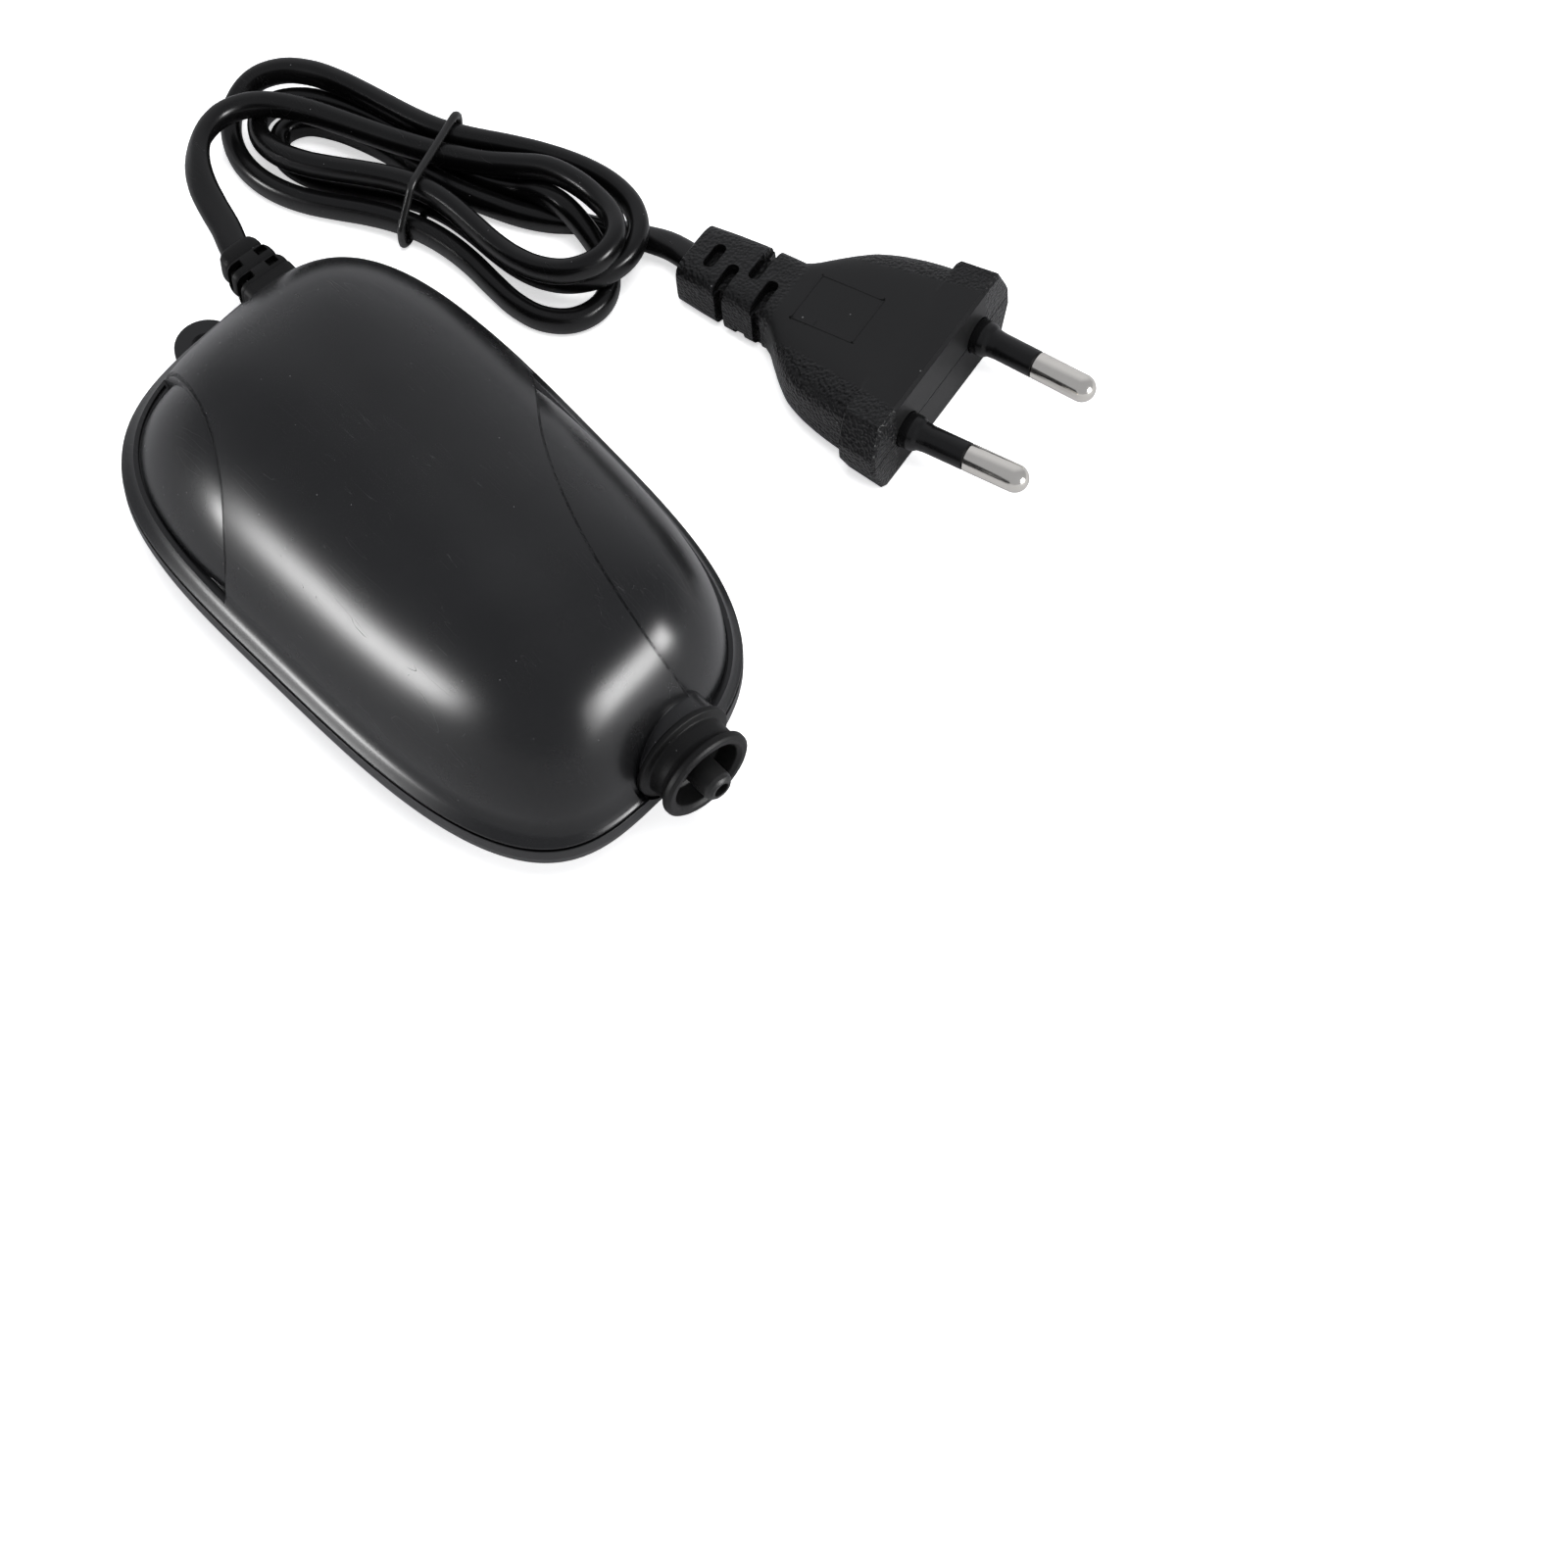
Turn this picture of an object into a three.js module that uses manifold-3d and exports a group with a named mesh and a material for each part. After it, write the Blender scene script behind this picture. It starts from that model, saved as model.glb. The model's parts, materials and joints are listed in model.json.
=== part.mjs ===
// Small mains air pump for an aquarium: glossy two-part housing on rubber feet, one air outlet in a
// rubber grommet, a coiled two-core mains cord with a flat two-pin plug, and the vibrating-arm
// compressor inside.
//
// Units are millimetres, +Z is up. The origin is the centre of the flat label pad under the lower
// casing. -Y is the front, with the outlet; +Y is the rear, where the cord leaves.
import * as THREE from 'three';
import { mergeVertices } from 'three/addons/utils/BufferGeometryUtils.js';
import Module from 'manifold-3d';

const wasm = await Module();
wasm.setup();

// ---------------------------------------------------------------- driving dimensions
const GAP = 0.3;               // clearance under screw heads and the filter

// Housing outline, seen from above
const HALF_LENGTH = 47.8;      // along Y
const HALF_WIDTH = 28.3;       // along X at mid length
const OUTLINE_POWER = 3.36;    // squareness
const OUTLINE_TAPER = 0.048;   // wider towards the rear
const OUTLINE_SKEW = 0.12;     // the ends lean, so opposite corners are fuller

// Housing heights
const BASE_Z = 0.4;            // underside of the lower casing
const FLOOR_Z = 2.2;           // inside floor of the lower casing
const PARTING_Z = 8.0;         // joint between the two casings
const LOWER_TOP_Z = PARTING_Z - 0.12;
const COVER_BOTTOM_Z = PARTING_Z + 0.12;
const SKIRT_Z = 10.5;          // top of the sloping skirt of the cover
const WALL = 1.8;              // wall of both casings

// Crown of the cover
const DOME_HALF_REAR = 45.7;   // at skirt height, towards +Y
const DOME_HALF_FRONT = 46.6;  // the same towards -Y
const DOME_HALF_WIDTH = 26.2;
const DOME_RISE = 22.5;        // above the skirt
const CROWN_Z = SKIRT_Z + DOME_RISE;
const CROWN_SIDE_POWER = 2.3;  // fall across the casing
const CROWN_FRONT_POWER = 12;  // fall towards the front
const CROWN_REAR_POWER = 4.6;  // fall towards the rear
const CROWN_ROUNDING = 0.625;  // exponent that rounds the edge of the crown
const CROWN_REAR_ROUNDING = 0.375; // added to that exponent at the rear
const RECESS_DEPTH = 0.75;     // of the two crescents in the crown

// Outlet
const OUTLET_X = 3.0;
const OUTLET_Z = 11.8;
const OUTLET_FACE_Y = -46.9;   // flat seat of the grommet on the casings
const RIM_Y = -52.6;           // end of the grommet collar
const NIPPLE_R = 2.18;         // fits 4 mm airline
const NIPPLE_BORE_R = 1.15;
const NIPPLE_Y = -55.1;        // end of the nipple

// Mains cord and plug
const BOOT_X = 10.4;           // axis of the strain relief, at the height of the joint
const CORD_W = 3.15;           // narrow side
const CORD_H = 4.3;            // wide side
const CORD_STEPS = 176;
const TIE_R = 0.48;            // wire tie
const PLUG = { x: 71.0, y: -23.6, z: 4.35, yaw: -74.5, tilt: 3.6 }; // centre of the pin face
const PIN_LENGTH = 19.0;
const PIN_R = 2.0;
const PIN_SPREAD = 9.3;        // half the pin spacing at the face
const PIN_SPREAD_TIP = 8.75;   // half the pin spacing at the tips

// Mechanism
const ARM_X = -11.5;           // centre plane of the vibrating arm
const ARM_HALF = 0.8;          // half the arm's thickness
const PIVOT_Y = -38.2;         // pivot of the vibrating arm
const CORE_X = -8.0;           // centre of the electromagnet
const COIL_Z = 12.0;
const CORE_REAR_Y = 26;
const DIAPHRAGM_Y = -26.0;     // axis of the diaphragm, along X
const DIAPHRAGM_Z = 11.0;
const CHAMBER_Y = [-35.0, -17.5]; // outline shared by the chamber and the sheets stacked on it
const CHAMBER_Z = [3.2, 18.4];
const CLAMP_RING_X = [-6.9, -5.25];
const CORD_CLAMP_Y = 30;
const CORD_CLAMP_TOP_Z = 11.5;
const LUG_TOP_Z = 9.2;         // fixing lugs of the chamber and of the core
const LUG_HALF = 2.2;
const THREAD_HOLE_R = 1.15;    // screw holes in posts and cover

// Centres [x, y] of what stands along Z
const CASING_SCREWS = [[-19.5, -30.5], [18.5, -33.0], [-17.5, 36.0], [21.0, 35.5]];
const FEET = [[-14.0, -23.2], [14.0, -23.2], [-15.5, 25.0], [15.5, 25.0]];
const CHAMBER_SCREWS = [[11.2, -31.0], [11.2, -21.0]];
const CORE_SCREWS = [[CORE_X - 9.0, 28.4], [CORE_X + 9.0, 28.4]];
const CORD_CLAMP_SCREWS = [[BOOT_X - 5.05, CORD_CLAMP_Y], [BOOT_X + 5.05, CORD_CLAMP_Y]];
const PIVOT_SCREWS = [[ARM_X - 6.1, PIVOT_Y + 0.2], [ARM_X + 6.1, PIVOT_Y + 0.2]];

// Centres [y, z] of the screws through the sheet stack, along X
const STACK_SCREWS = [[-33.4, 17.1], [-19.1, 17.1], [-33.4, 4.6], [-19.1, 4.6]];

// Centres [x, z] of the wire joint sleeves, along Y
const SLEEVES = [[8.4, 9.9], [13.4, 9.9]];

// ---------------------------------------------------------------- measured tables
// Centre line [x, y, z] of the mains cord from the casing to the plug, coiled
const CORD_PATH = [
  [10.40,24.50,8.00], [10.40,29.00,8.00], [10.40,33.49,8.00], [10.40,37.99,8.00],
  [10.40,40.98,8.00], [10.40,45.48,8.00], [10.40,50.00,8.00], [10.49,54.48,8.00],
  [11.75,58.68,7.92], [12.90,63.01,7.68], [14.11,67.33,7.40], [15.95,71.40,7.15],
  [17.73,73.78,7.01], [21.33,76.34,6.84], [25.67,76.84,6.70], [29.70,75.09,6.49],
  [32.85,71.94,6.14], [35.29,68.19,5.79], [37.36,64.22,5.55], [39.32,60.17,5.45],
  [40.66,57.49,5.44], [42.81,53.55,5.40], [45.21,49.75,5.28], [47.79,46.08,5.33],
  [50.41,42.51,6.03], [52.72,38.80,6.98], [54.12,34.57,7.08], [54.48,31.61,7.04],
  [54.14,27.20,7.53], [52.25,23.32,8.41], [48.56,21.19,8.66], [44.48,22.07,7.83],
  [41.69,25.26,6.67], [40.25,29.38,5.71], [39.62,33.78,5.15], [39.47,36.77,5.02],
  [39.35,41.26,5.10], [38.88,45.72,5.29], [37.55,49.98,5.38], [35.42,53.93,5.24],
  [32.94,57.67,4.94], [30.44,61.38,4.57], [28.33,65.31,4.12], [27.47,68.13,3.74],
  [27.60,72.47,2.95], [29.87,76.02,1.88], [33.83,77.23,0.97], [37.66,75.32,0.43],
  [40.32,71.75,0.18], [42.19,67.68,0.13], [43.12,64.83,0.23], [44.14,60.47,0.51],
  [44.92,56.05,0.77], [45.87,51.66,0.83], [47.38,47.44,0.67], [49.31,43.42,0.93],
  [50.80,39.53,2.49], [51.47,35.42,3.98], [51.76,32.55,3.65], [51.97,28.59,1.59],
  [51.23,24.55,0.02], [48.66,21.07,-0.29], [44.53,19.84,-0.29], [40.51,21.44,-0.29],
  [38.06,25.07,-0.26], [37.39,27.97,-0.19], [37.18,32.44,-0.01], [37.15,36.93,0.25],
  [36.66,41.38,0.56], [35.52,45.71,0.80], [33.79,49.85,0.81], [31.59,53.76,0.59],
  [29.12,57.50,0.27], [27.50,60.01,0.08], [25.46,64.00,-0.14], [24.25,68.30,-0.24],
  [24.19,72.76,-0.25], [25.56,76.98,-0.01], [28.34,80.34,0.70], [32.22,81.79,1.94],
  [36.12,80.44,3.27], [38.19,78.41,3.87], [40.48,74.60,4.31], [42.03,70.39,4.49],
  [43.20,66.06,4.68], [44.22,61.69,4.98], [45.39,57.37,5.27], [47.19,53.27,5.38],
  [48.81,50.76,5.32], [51.53,47.19,5.07], [54.15,43.55,4.75], [56.41,39.68,4.51],
  [58.10,35.53,4.43], [58.90,31.13,4.49], [58.36,26.73,4.63], [56.02,23.01,4.72],
  [53.54,21.46,4.65], [49.23,21.11,4.23], [45.54,23.17,3.17], [43.21,26.71,1.84],
  [41.93,30.88,0.83], [41.33,35.30,0.35], [41.02,39.78,0.36], [40.51,44.23,0.64],
  [39.79,47.13,0.78], [38.04,51.25,0.82], [35.74,55.10,0.62], [33.26,58.84,0.30],
  [30.93,62.67,0.01], [29.33,66.82,-0.17], [29.60,71.16,-0.25], [31.45,73.19,-0.27],
  [35.34,72.45,-0.23], [37.97,68.89,-0.12], [39.64,64.74,0.10], [40.79,60.41,0.42],
  [41.60,56.00,0.71], [42.50,51.60,0.83], [43.84,47.32,0.72], [45.04,44.58,0.54],
  [47.12,40.61,0.21], [49.50,36.82,-0.05], [52.53,33.52,-0.20], [55.24,29.96,-0.23],
  [57.47,26.07,-0.05], [59.35,22.02,0.45], [60.26,17.76,1.27], [60.37,14.86,1.80],
  [61.51,10.53,2.12], [62.73,6.21,2.40], [63.93,1.89,2.69],
];

// Closed centre line [x, y, z] of the wire tie around the bundle
const TIE_PATH = [
  [46.20,53.00,8.15], [45.04,52.50,8.15], [43.88,52.00,8.15], [42.72,51.50,8.15],
  [41.56,51.00,8.15], [40.40,50.50,8.15], [39.24,50.00,8.15], [38.08,49.50,8.14],
  [36.92,48.99,8.14], [35.94,48.57,7.57], [35.24,48.27,6.56], [34.53,47.96,5.56],
  [33.83,47.66,4.55], [33.13,47.36,3.54], [32.54,47.10,2.47], [32.45,47.07,1.21],
  [32.45,47.07,-0.05], [32.73,47.19,-1.25], [33.66,47.59,-1.92], [34.82,48.09,-1.94],
  [35.98,48.59,-1.94], [37.14,49.09,-1.94], [38.29,49.59,-1.94], [39.45,50.09,-1.94],
  [40.61,50.59,-1.94], [41.77,51.09,-1.94], [42.93,51.59,-1.94], [44.09,52.09,-1.94],
  [45.25,52.59,-1.94], [46.41,53.09,-1.94], [47.42,53.52,-1.41], [47.89,53.72,-0.25],
  [48.28,53.89,0.93], [48.68,54.07,2.12], [49.08,54.24,3.31], [49.30,54.33,4.54],
  [49.30,54.33,5.80], [49.21,54.29,7.06], [48.51,53.99,8.03], [47.36,53.50,8.15],
];

// Outlines [x, y] of the two crescent recesses, closed well outside the crown
const CRESCENT_MINUS_X = [
  [-28.4, 9.9], [-26.2, 10.8], [-23.9, 13.0], [-21.3, 16.0], [-19.2, 19.1], [-17.0, 23.1],
  [-15.4, 27.2], [-14.0, 32.3], [-12.4, 38.5], [-10.6, 44.5], [-16, 60], [-45, 50], [-45, 9.6],
];
const CRESCENT_PLUS_X = [
  [28.2, 12.8], [23.8, 6.7], [19.3, -0.1], [14.6, -7.0], [11.2, -13.4], [8.8, -19.2],
  [6.7, -25.6], [5.2, -32.4], [4.8, -37.6], [5.2, -41.2], [6.4, -43.9], [8.6, -45.6],
  [12, -60], [45, -50], [45, 12.5],
];

// ---------------------------------------------------------------- materials
const finish = (settings) => new THREE.MeshStandardMaterial(settings);
const GLOSS_ABS = finish({ color: 0x232325, roughness: 0.22 });
const CASE_ABS = finish({ color: 0x202022, roughness: 0.32 });
const RUBBER = finish({ color: 0x1c1c1d, roughness: 0.75 });
const SOFT_PVC = finish({ color: 0x19191a, roughness: 0.45 });
const NYLON = finish({ color: 0x2a2a2c, roughness: 0.5 });
const WHITE_NYLON = finish({ color: 0xe6e3da, roughness: 0.5 });
const STEEL = finish({ color: 0x9a9da1, roughness: 0.35, metalness: 1 });
const NICKEL = finish({ color: 0xc9c6bd, roughness: 0.18, metalness: 1 });
const COPPER = finish({ color: 0x8a3f1c, roughness: 0.4, metalness: 0.8 });
const FERRITE = finish({ color: 0x35353a, roughness: 0.55, metalness: 0.3 });
const LAMINATION = finish({ color: 0x6e7075, roughness: 0.45, metalness: 0.9 });
const FELT = finish({ color: 0xd8d6cf, roughness: 0.95 });
const BLUE_WIRE = finish({ color: 0x2b5fa8, roughness: 0.5 });
const BROWN_WIRE = finish({ color: 0x6b4226, roughness: 0.5 });
const TIE_BLACK = finish({ color: 0x151516, roughness: 0.3 });

// ---------------------------------------------------------------- helpers
const toSolid = (source) => {
  source.deleteAttribute('normal');
  source.deleteAttribute('uv');
  const merged = mergeVertices(source, 1e-4);
  return new wasm.Manifold(new wasm.Mesh({
    numProp: 3,
    vertProperties: new Float32Array(merged.attributes.position.array),
    triVerts: new Uint32Array(merged.index.array),
  }));
};
const toGeometry = (shape) => {
  if (shape.isBufferGeometry) return shape;
  const mesh = shape.getMesh();
  const result = new THREE.BufferGeometry();
  const positions = new Float32Array(mesh.vertProperties);
  result.setAttribute('position', new THREE.BufferAttribute(positions, 3));
  result.setIndex(new THREE.BufferAttribute(new Uint32Array(mesh.triVerts), 1));
  result.computeVertexNormals();
  return result;
};

const pump = new THREE.Group();
const add = (name, shape, material) => {
  const mesh = new THREE.Mesh(toGeometry(shape), material);
  mesh.name = name;
  pump.add(mesh);
};
// One numbered piece at each spot
const addEach = (name, spots, make, material) => {
  spots.forEach((spot, i) => add(`${name}_${i + 1}`, make(...spot), material));
};

const join = (...solids) => solids.reduce((total, part) => total.add(part));
const cut = (body, ...tools) => tools.reduce((rest, tool) => rest.subtract(tool), body);
const largestPiece = (body) => body.decompose().sort((a, b) => b.volume() - a.volume())[0];

// Ranges are [low, high]
const span = (centre, half) => [centre - half, centre + half];
const bothSides = (centre, near, far) => [
  [centre - far, centre - near],
  [centre + near, centre + far],
];
const middle = ([low, high]) => (low + high) / 2;
const size = ([low, high]) => high - low;

const box = (xs, ys, zs) => toSolid(new THREE.BoxGeometry(size(xs), size(ys), size(zs))
  .translate(middle(xs), middle(ys), middle(zs)));
const cylinder = (radius, range, n) => new THREE.CylinderGeometry(radius, radius, size(range), n);
const rodX = (radius, xs, y, z, n) => toSolid(cylinder(radius, xs, n)
  .rotateZ(-Math.PI / 2).translate(middle(xs), y, z));
const rodY = (radius, ys, x, z, n) => toSolid(cylinder(radius, ys, n)
  .translate(x, middle(ys), z));
const rodZ = (radius, zs, x, y, n) => toSolid(cylinder(radius, zs, n)
  .rotateX(Math.PI / 2).translate(x, y, middle(zs)));
const rodsZ = (spots, radius, zs, n) => spots.map(([x, y]) => rodZ(radius, zs, x, y, n));

// Turned piece about Z from [radius, z] pairs, in either direction
const turned = (pairs, n) => {
  const area = pairs.reduce((total, [r, z], i) => {
    const [nextR, nextZ] = pairs[(i + 1) % pairs.length];
    return total + r * nextZ - nextR * z;
  }, 0);
  const run = area < 0 ? pairs.slice().reverse() : pairs;
  const profile = run.map(([r, z]) => new THREE.Vector2(r, z));
  return new THREE.LatheGeometry(profile, n).rotateX(Math.PI / 2);
};
const vectors2 = (points) => points.map(([x, y]) => new THREE.Vector2(x, y));
const plate = (outline, depth, holes = []) => {
  const shape = new THREE.Shape(vectors2(outline));
  for (const hole of holes) shape.holes.push(new THREE.Path(vectors2(hole)));
  return new THREE.ExtrudeGeometry(shape, { depth, bevelEnabled: false });
};
const extrudeZ = (outline, zs, x = 0, y = 0) => toSolid(
  plate(outline, size(zs)).translate(x, y, zs[0]));
// The outline's second coordinate becomes height
const extrudeY = (outline, ys, x, z, holes) => toSolid(
  plate(outline, size(ys), holes).rotateX(Math.PI / 2).translate(x, ys[1], z));
const rounded = (width, height, radius, n) => {
  const points = [];
  for (const [sx, sy, start] of [[1, 1, 0], [-1, 1, 90], [-1, -1, 180], [1, -1, 270]]) {
    for (let i = 0; i <= n; i++) {
      const angle = (start + 90 * i / n) * Math.PI / 180;
      points.push([
        sx * (width / 2 - radius) + radius * Math.cos(angle),
        sy * (height / 2 - radius) + radius * Math.sin(angle),
      ]);
    }
  }
  return points;
};
// Half an outline, then its mirror image across the X axis
const mirrored = (half) => [...half, ...half.slice().reverse().map(([x, y]) => [x, -y])];
const curveThrough = (path, closed) => new THREE.CatmullRomCurve3(
  path.map((point) => new THREE.Vector3(...point)), closed, 'centripetal');

const crossSlot = (x, y, halfLength, halfWidth, zs) => [
  box(span(x, halfLength), span(y, halfWidth), zs),
  box(span(x, halfWidth), span(y, halfLength), zs),
];
// Screw pointing down, with its head seated at height z
const downScrew = (x, y, z, length, headR = 2.0) => {
  const body = toSolid(turned([
    [0, z - length], [0.9, z - length + 0.6], [0.9, z],
    [headR, z], [headR, z + 0.9], [headR - 0.4, z + 1.3], [0, z + 1.3],
  ], 14).translate(x, y, 0));
  return cut(body, ...crossSlot(x, y, headR * 0.55, 0.22, [z + 0.7, z + 2]));
};

// ---------------------------------------------------------------- housing surfaces
const SKIN_SEGMENTS = 48;
const unitOutline = (angle) => [Math.cos(angle), Math.sin(angle)]
  .map((c) => Math.sign(c) * Math.pow(Math.abs(c), 2 / OUTLINE_POWER));
// Bends the unit outline point (u, v), scaled by rho, to the housing outline
const place = (u, v, rho, halfWidth, halfLength) => {
  const x = rho * halfWidth * u * (1 + OUTLINE_TAPER * rho * v);
  return [x, rho * halfLength * v + OUTLINE_SKEW * x * rho * rho * v * v];
};

// Rows of a skin, as functions from (u, v) to [x, y, z]: a point on the middle axis, a ring on
// the outline moved in by inset, or a ring on the crown at the fraction rho of its outline.
const axis = (z) => () => [0, 0, z];
const ring = (inset, z) => (u, v) => [
  ...place(u, v, 1, HALF_WIDTH - inset, HALF_LENGTH - inset), z];
const dome = (rho, inset) => (u, v) => {
  const halfLength = (v < 0 ? DOME_HALF_FRONT : DOME_HALF_REAR) - inset;
  const [x, y] = place(u, v, rho, DOME_HALF_WIDTH - inset, halfLength);
  // across the casing the crown is a full arch; toward the ends it stays flat and drops late
  const sideShare = Math.pow(Math.abs(u), OUTLINE_POWER);
  const endShare = 1 - sideShare;
  const endPower = v < 0 ? CROWN_FRONT_POWER : CROWN_REAR_POWER;
  const fall = sideShare * Math.pow(rho, CROWN_SIDE_POWER) + endShare * Math.pow(rho, endPower);
  const rounding = CROWN_ROUNDING + (v > 0 ? CROWN_REAR_ROUNDING * endShare : 0);
  const rise = (DOME_RISE - inset) * Math.pow(Math.max(0, 1 - fall), rounding);
  return [x, y, SKIRT_Z + rise];
};
// Closed skin through the rows, listed from the bottom up the outside to the top. The lathe
// only supplies the triangles; every point is then placed by its row.
const skin = (rows) => {
  const lathe = new THREE.LatheGeometry(
    rows.map((row, j) => new THREE.Vector2(1, j)), SKIN_SEGMENTS);
  for (let i = 0; i <= SKIN_SEGMENTS; i++) {
    const [u, v] = unitOutline(((i % SKIN_SEGMENTS) / SKIN_SEGMENTS) * Math.PI * 2);
    rows.forEach((row, j) => {
      lathe.attributes.position.setXYZ(i * rows.length + j, ...row(u, v));
    });
  }
  return toSolid(lathe);
};

// Fractions of the crown outline, from its edge inwards
const OUTER_RHOS = [1.0, 0.995, 0.98, 0.94, 0.87, 0.76, 0.6, 0.35];
const INNER_RHOS = [1.0, 0.95, 0.85, 0.65];
const crown = (rhos, inset) => [
  ...rhos.map((rho) => dome(rho, inset)), axis(CROWN_Z - inset)];

const coverOuter = skin([
  axis(COVER_BOTTOM_Z), ring(0.15, COVER_BOTTOM_Z), ring(0.25, PARTING_Z + 0.8),
  ring(1.2, 9.7), ...crown(OUTER_RHOS, 0),
]);
const coverInner = skin([
  axis(6.0), ring(WALL, 6.0), ring(WALL + 0.2, 9.2), ...crown(INNER_RHOS, WALL),
]);
const recessFloor = skin([
  axis(0), ring(2.1, 0), ring(2.1, 10.0), ...crown(OUTER_RHOS, RECESS_DEPTH),
]);
const trayOuter = skin([
  axis(BASE_Z), ring(6.2, BASE_Z), ring(3.2, 0.9), ring(1.25, 2.2), ring(0.3, 4.0),
  ring(0, 5.6), ring(0, LOWER_TOP_Z), axis(LOWER_TOP_Z),
]);
const trayInner = skin([
  axis(FLOOR_Z), ring(5.6, FLOOR_Z), ring(3.0, 3.6), ring(WALL, 6.0), ring(WALL, 12), axis(12),
]);

// Openings shared by both casings
const outletHole = rodY(6.2, [-60, -38], OUTLET_X, OUTLET_Z, 32);
const bootHole = box(span(BOOT_X, 4.4), [36, 56], span(PARTING_Z, 3.2));

// ---------------------------------------------------------------- lower casing
const makeTab = () => {
  const x = -0.2;
  const y = 49.7;
  const radius = 4.55;
  const zs = [0.8, 2.4];
  const tab = join(rodZ(radius, zs, x, y, 28), box(span(x, radius), [44.4, y], zs));
  return { tab, hole: rodZ(1.9, [-1, 4], x, 49.9, 20) };
};

// Screw pillars, seats and posts for the mechanism, trimmed to the casing
const makePosts = () => {
  const upTo = (z) => [1.5, z];
  return join(
    ...rodsZ(CASING_SCREWS, 3.3, [1.0, PARTING_Z - 0.2], 20),
    box([-0.8, 2.4], [-33.0, -29.5], upTo(2.9)),
    box([-0.8, 7.6], [-22.5, -19.0], upTo(2.9)),
    ...rodsZ(CHAMBER_SCREWS, 2.6, upTo(6.4), 18),
    box(span(CORE_X, 12.2), [22.2, 25.2], upTo(6.7)),
    ...rodsZ(CORE_SCREWS, 2.6, upTo(6.7), 18),
    box(span(ARM_X, 7.8), [PIVOT_Y - 3.6, PIVOT_Y + 2.7], upTo(7.2)),
    box(span(BOOT_X, 2.8), span(CORD_CLAMP_Y, 2.4), upTo(6.1)),
    ...rodsZ(CORD_CLAMP_SCREWS, 2.2, upTo(6.1), 16),
  ).intersect(trayOuter);
};

const makeLowerCasing = () => {
  const { tab, hole } = makeTab();
  const labelPad = box([-12, 12], [-17, 17], [0, 1.0]);
  const intakeSlots = [-8, -4, 0, 4, 8].map((y) => box([14.0, 22.0], span(y, 0.7), [-1, 4]));
  const postSpots = [
    ...CHAMBER_SCREWS, ...CORE_SCREWS, ...CORD_CLAMP_SCREWS, ...PIVOT_SCREWS];
  return largestPiece(cut(
    join(trayOuter.subtract(trayInner), tab, labelPad, makePosts()),
    box([-40, 40], [-60, 60], [LOWER_TOP_Z, 20]),            // nothing stands above the joint
    outletHole,
    bootHole,
    ...rodsZ(CASING_SCREWS, 1.5, [-1, 9], 16),
    ...rodsZ(CASING_SCREWS, 2.7, [-1, 3.4], 20),             // counterbores
    ...rodsZ(FEET, 2.1, [-1, 4], 20),
    ...intakeSlots,
    hole,
    ...rodsZ(postSpots, THREAD_HOLE_R, [2.6, 9], 14),
    rodY(7.05, [-60, OUTLET_FACE_Y], OUTLET_X, OUTLET_Z, 32), // flat seat for the grommet
  ));
};
add('lower_casing', makeLowerCasing(), CASE_ABS);

// ---------------------------------------------------------------- cover
const makeCover = () => {
  const recessZ = [10.3, 40];
  const recesses = join(extrudeZ(CRESCENT_MINUS_X, recessZ), extrudeZ(CRESCENT_PLUS_X, recessZ))
    .subtract(recessFloor);
  // squares the wall around the outlet
  const outletBoss = rodY(6.95, [OUTLET_FACE_Y, -40], OUTLET_X, OUTLET_Z, 32)
    .intersect(box([-20, 20], [-60, -38], [COVER_BOTTOM_Z, 40]))
    .subtract(coverInner);
  const pillars = join(...rodsZ(CASING_SCREWS, 3.0, [PARTING_Z + 0.2, 30], 20))
    .intersect(coverOuter);
  return largestPiece(cut(
    join(cut(coverOuter, coverInner, recesses), outletBoss, pillars),
    ...rodsZ(CASING_SCREWS, THREAD_HOLE_R, [4, PARTING_Z + 5], 14),
    outletHole,
    bootHole,
    rodY(6.85, [-44.7, -38], OUTLET_X, OUTLET_Z, 32),        // room for the grommet's flange
    rodY(8, [-60, OUTLET_FACE_Y], OUTLET_X, OUTLET_Z, 32),   // flat seat for the grommet
  ));
};
add('upper_casing', makeCover(), GLOSS_ABS);

// ---------------------------------------------------------------- feet and casing screws
const makeFoot = (x, y) => {
  const bottom = -2.5;         // plane the object stands on
  const shoulder = BASE_Z - 0.25;
  return turned([
    [0, bottom], [3.9, bottom], [4.6, bottom + 0.5], [4.8, shoulder], [1.85, shoulder],
    [1.8, 1.9], [0, 1.9],
  ], 20).translate(x, y, 0);
};
addEach('foot', FEET, makeFoot, RUBBER);

// Screw pointing up, its head in the counterbore under the casing
const makeCasingScrew = (x, y) => {
  const body = toSolid(turned(
    [[0, 1.3], [2.35, 1.3], [2.35, 2.9], [1.0, 3.1], [1.0, 11.3], [0, 12.1]], 16,
  ).translate(x, y, 0));
  return cut(body, ...crossSlot(x, y, 1.4, 0.3, [0, 2.0]));
};
addEach('casing_screw', CASING_SCREWS, makeCasingScrew, STEEL);

// ---------------------------------------------------------------- outlet grommet
// Puts a turned piece on the outlet axis: the profile's +Z becomes -Y
const aboutOutlet = (piece) => piece.rotateX(Math.PI / 2).translate(OUTLET_X, 0, OUTLET_Z);

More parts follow.
